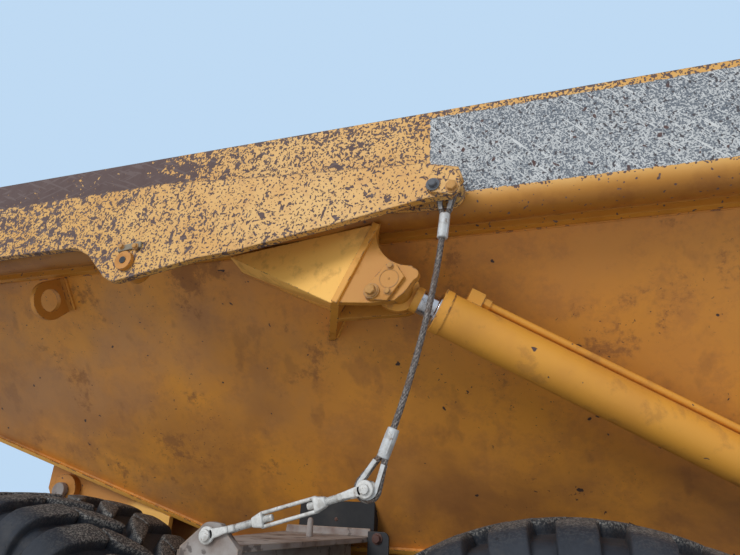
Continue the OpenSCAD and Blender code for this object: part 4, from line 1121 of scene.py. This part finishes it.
def body_fasteners(side, sign, bolt):
    out = (0, sign, 0)
    spots = [set_at(x, sign * (KEEPER_FACE_Y + lift), z, out, size, spin)
             for x, z, lift, size, spin in (KEEPER_BOLT + (WASHER_T, 0.92, 10), (0.421, 2.218, 0, 0.50, 25),
                                            (0.415, 2.143, 0, 0.50, 5))]
    keeper_bolts = scatter(f"keeper_bolts_{side}", bolt, spots)
    washer = place(bevel(disc(0.0225, WASHER_T), 0.0015),
                   set_at(KEEPER_BOLT[0], sign * KEEPER_FACE_Y, KEEPER_BOLT[1], out))
    pin_x, pin_z = HOIST_TOP.x, HOIST_TOP.z
    ring = [placed((pin_x + PIN_GROOVE_R * cos(a), KEEPER_FACE_Y, pin_z + PIN_GROOVE_R * sin(a)), sign)
            for a in around(36)]
    groove = tube(f"pin_ring_{side}", ring, 0.0016, closed=True, sides=1)
    dot = tube(f"pin_dot_{side}", [placed((pin_x, KEEPER_FACE_Y + s, pin_z), sign) for s in (-0.002, 0.0015)], 0.003)
    fasteners = join(f"bracket_fasteners_{side}", [keeper_bolts, washer, groove, dot])
    hand_over(fasteners, "dump_body", "hoist_paint", "yellow_bolt")
    # Edge of the bracket's end plate, proud of the fairing and the lug
    strip_x = plate_x(-0.141, LUG_FACE_Y, STRIP_Z)
    strip = place(bevel(block((0.0215, 0.020, 0.262)), 0.0025),
                  moved(strip_x, sign * (LUG_FACE_Y - 0.001), STRIP_Z)
                  @ Matrix.Rotation(atan2(-HOIST_DIR.z, HOIST_DIR.x), 4, "Y"))
    hand_over(join(f"end_plate_edge_{side}", [strip]), "dump_body", "hoist_paint")
    pin_end = place(bevel(disc(0.034, 0.030, 36), 0.004), set_at(-1.330, sign * 0.632, 1.610, out))
    hand_over(join(f"hinge_pin_end_{side}", [pin_end]), "dump_body", "rusty_steel", "pin_brown")


def arm_fasteners(side, sign, bolt, cap):
    out = (0, sign, 0)
    rope_y, pivot_y = ARM_FACE_Y + 0.013, ARM_FACE_Y + 0.008
    dark = scatter(f"arm_cap_{side}", cap, [set_at(0.564, sign * rope_y, 2.391, out, 0.92)])
    hand_over(dark, "tailgate", "rail_paint", "dark_bolt")
    bar = place(bevel(block((0.086, 0.009, 0.020)), 0.0022),
                moved(-0.398, sign * (ARM_FACE_Y + 0.004), 2.318)
                @ Matrix.Rotation(radians(-6), 4, "Y"))
    spots = [set_at(x, sign * y, z, out, size, spin)
             for x, y, z, size, spin in ((0.614, rope_y, 2.377, 0.84, 12), (-0.425, pivot_y, 2.320, 0.52, 0),
                                         (-0.372, pivot_y, 2.315, 0.52, 20))]
    hand_over(scatter(f"arm_bolts_{side}", bolt, spots), "tailgate", "rail_paint", "yellow_bolt")
    hand_over(join(f"pivot_keeper_{side}", [bar]), "tailgate", "rail_paint", "worn_keeper")
    # Painted shade: a thin black disc on the pivot stands for the dark hole in its middle.
    centre = place(disc(0.0110, 0.0025, 24), set_at(-0.405, sign * (ARM_FACE_Y + 0.0140), 2.270, out))
    hand_over(join(f"pivot_hole_shade_{side}", [centre]), "dump_body", "rail_paint", "black_paint_and_hole_shade")


# Outrigger: end bracket with its bolt, the peg, and the channel that holds the rubber rest

OUTRIGGER_TOP = 1.500


def outrigger_fittings(side, sign, bolt):
    channel = block((0.340, 0.012, 0.027))
    pick(channel, lambda normal: normal.z > 0.9)
    resize(0.97, 1, 1)
    clear()
    place(bevel(channel, 0.002), moved(-0.016, sign * 0.662, OUTRIGGER_TOP + 0.0135))
    peg = disc(0.0118, 0.040, 24)
    pick(peg, lambda normal: normal.z > 0.9)
    resize(0.86, 0.86, 1)
    for rise, narrowing in ((0.013, 0.92), (0.006, 0.55)):
        extrude(0, 0, rise)
        resize(narrowing, narrowing, 1)
    clear()
    place(smooth(bevel(peg, 0.002)), set_at(0.010, sign * 0.888, OUTRIGGER_TOP))
    hand_over(join(f"outrigger_peg_{side}", [channel, peg]), "chassis", "rusty_steel", "peg")
    plate = block((0.078, 0.012, 0.130))
    edit(plate, kind="EDGE")
    mesh = bmesh.from_edit_mesh(plate.data)
    for edge in mesh.edges:
        a, b = (vertex.co for vertex in edge.verts)
        edge.select_set(abs(a.y - b.y) > 0.005 and a.x > 0 and a.z > 0)
    bmesh.update_edit_mesh(plate.data)
    bpy.ops.mesh.bevel(offset=0.022, segments=5, affect="EDGES")
    clear()
    place(bevel(plate, 0.0018), moved(0.191, sign * 0.694, OUTRIGGER_TOP - 0.045))
    hand_over(join(f"rest_bracket_{side}", [plate]), "chassis", "chassis_paint", "black_paint_and_hole_shade")
    spots = [set_at(0.188, sign * 0.700, OUTRIGGER_TOP - 0.003, (0, sign, 0), 0.92, 8),
             set_at(0.005, sign * 0.637, OUTRIGGER_TOP + 0.052, (0, sign, 0), 0.32)]
    hand_over(scatter(f"rest_bolts_{side}", bolt, spots), "chassis", "rusty_steel", "rusty_bolt")


# Chassis: hitch bolts and lamp rims

HITCH_FACE_X, HITCH_RING_R, HITCH_Z = 3.150, 0.255, 1.160
LAMP_X, LAMP_Y, LAMP_Z = -1.6165, (0.665, 0.505), 1.150


def chassis_fittings(bolt):
    spots = [set_at(HITCH_FACE_X, HITCH_RING_R * sin(a), HITCH_Z + HITCH_RING_R * cos(a), (1, 0, 0), 0.85)
             for a in around(12)]
    hand_over(scatter("hitch_bolts", bolt, spots), "chassis", "chassis_paint", "dark_bolt")
    rims = []
    for sign in SIDES.values():
        for y in LAMP_Y:
            rim = block((0.012, 0.150, 0.120))
            pick(rim, lambda normal: abs(normal.x) > 0.9)
            bpy.ops.mesh.inset(thickness=0.010)
            bpy.ops.mesh.delete(type="FACE")
            edit(rim, kind="EDGE")
            bpy.ops.mesh.select_non_manifold()
            bpy.ops.mesh.bridge_edge_loops()
            settle(rim)
            rims.append(place(bevel(rim, 0.002), moved(LAMP_X, sign * y, LAMP_Z)))
    hand_over(join("lamp_rims", rims), "chassis", "lamp_red", "rubber")


# Hoist: two lock rings at the barrel's mouth

def hoist_rings(side, sign):
    start, aim = mirrored(HOIST_TOP, sign), mirrored(HOIST_DIR, sign)
    rings = []
    for along, radius, thick in ((GLAND + 0.0265, BARREL_R + 0.0004, 0.0022),
                                 (GLAND + 0.0015, BARREL_R + 0.0012, 0.0024)):
        middle = from_tandem(*(start + aim * along))
        points = [middle + aimed(aim) @ Vector((radius * cos(a), radius * sin(a), 0)) for a in around(64)]
        rings.append(tube(f"barrel_ring_{side}_{len(rings)}", points, thick, closed=True, sides=1))
    hand_over(join(f"barrel_rings_{side}", rings), f"hoist_barrel_{side}", "hoist_paint")


def smooth_rail(side):
    """A rail again, its bend shaded smooth."""
    rail = add_object(f"smooth_top_rail_{side}", nodes[f"top_rail_{side}"].data.copy())
    take(rail)
    bpy.ops.mesh.customdata_custom_splitnormals_clear()
    settle(rail)
    smooth(rail, 30)
    hand_over(rail, "dump_body", "rail_paint")
    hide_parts(f"top_rail_{side}")


def dress():
    bolt, cap = hex_bolt(), cap_bolt()
    make_turnbuckles()
    make_wheels()
    chassis_fittings(bolt)
    for side, sign in SIDES.items():
        smooth_rail(side)
        gate_rope(side, sign)
        body_fasteners(side, sign, bolt)
        arm_fasteners(side, sign, bolt, cap)
        outrigger_fittings(side, sign, bolt)
        hoist_rings(side, sign)
        body_welds(side, sign)
    drop(bolt, cap)


dress()


# Stage: a pale floor, plain light and a pale sky
SKY_LIGHT = (0.78, 0.88, 1.0)
SKY_SEEN = (0.52, 0.70, 0.90)


def make_stage():
    bpy.ops.object.select_all(action="DESELECT")
    bpy.ops.mesh.primitive_plane_add(size=60, location=(0, 0, 0))
    floor = bpy.context.object
    floor.name = "floor"
    f = Finish("floor_pale")
    f.colour = (0.62, 0.60, 0.57, 1)
    floor.data.materials.append(f.finish(rough=0.85))
    world = bpy.data.worlds.new("sky")
    bpy.context.scene.world = world
    world.use_nodes = True
    tree = world.node_tree
    tree.nodes.clear()
    skies = []
    for colour, strength in ((SKY_LIGHT, 0.78), (SKY_SEEN, 1.0)):
        skies.append(tree.nodes.new("ShaderNodeBackground"))
        skies[-1].inputs["Color"].default_value = (*colour, 1)
        skies[-1].inputs["Strength"].default_value = strength
    rays = tree.nodes.new("ShaderNodeLightPath")
    blend = tree.nodes.new("ShaderNodeMixShader")
    end = tree.nodes.new("ShaderNodeOutputWorld")
    tree.links.new(rays.outputs["Is Camera Ray"], blend.inputs[0])
    for i, sky in enumerate(skies, 1):
        tree.links.new(sky.outputs[0], blend.inputs[i])
    tree.links.new(blend.outputs[0], end.inputs["Surface"])

    for label, turn, power, angle in (("sun", (radians(65), 0, radians(-20)), 1.50, 24),
                                      ("fill", (radians(65), 0, radians(150)), 0.7, 40)):
        light = bpy.data.lights.new(label, "SUN")
        light.energy = power
        light.angle = radians(angle)
        add_object(label, light).rotation_euler = turn


# Camera: a person's eye height on the right side, looking up and a little back
EYE = from_tandem(0.828, -2.762, 1.602)
AIM = Vector((-0.30139, 0.87434, 0.38040))
CAM_UP = Vector((0.08114, -0.37398, 0.92388))
FOCAL_PX = 555.74
FRAME_PX = 740
SENSOR_MM = 36


def make_camera():
    data = bpy.data.cameras.new("camera")
    data.sensor_width = SENSOR_MM
    data.lens = SENSOR_MM * FOCAL_PX / FRAME_PX
    data.clip_start = 0.05
    data.clip_end = 200
    camera = add_object("camera", data)
    right = AIM.cross(CAM_UP).normalized()
    up = right.cross(AIM).normalized()
    camera.matrix_world = Matrix.Translation(EYE) @ Matrix((right, up, -AIM)).transposed().to_4x4()
    bpy.context.scene.camera = camera


make_camera()
make_stage()
bpy.context.scene.view_settings.view_transform = "Standard"
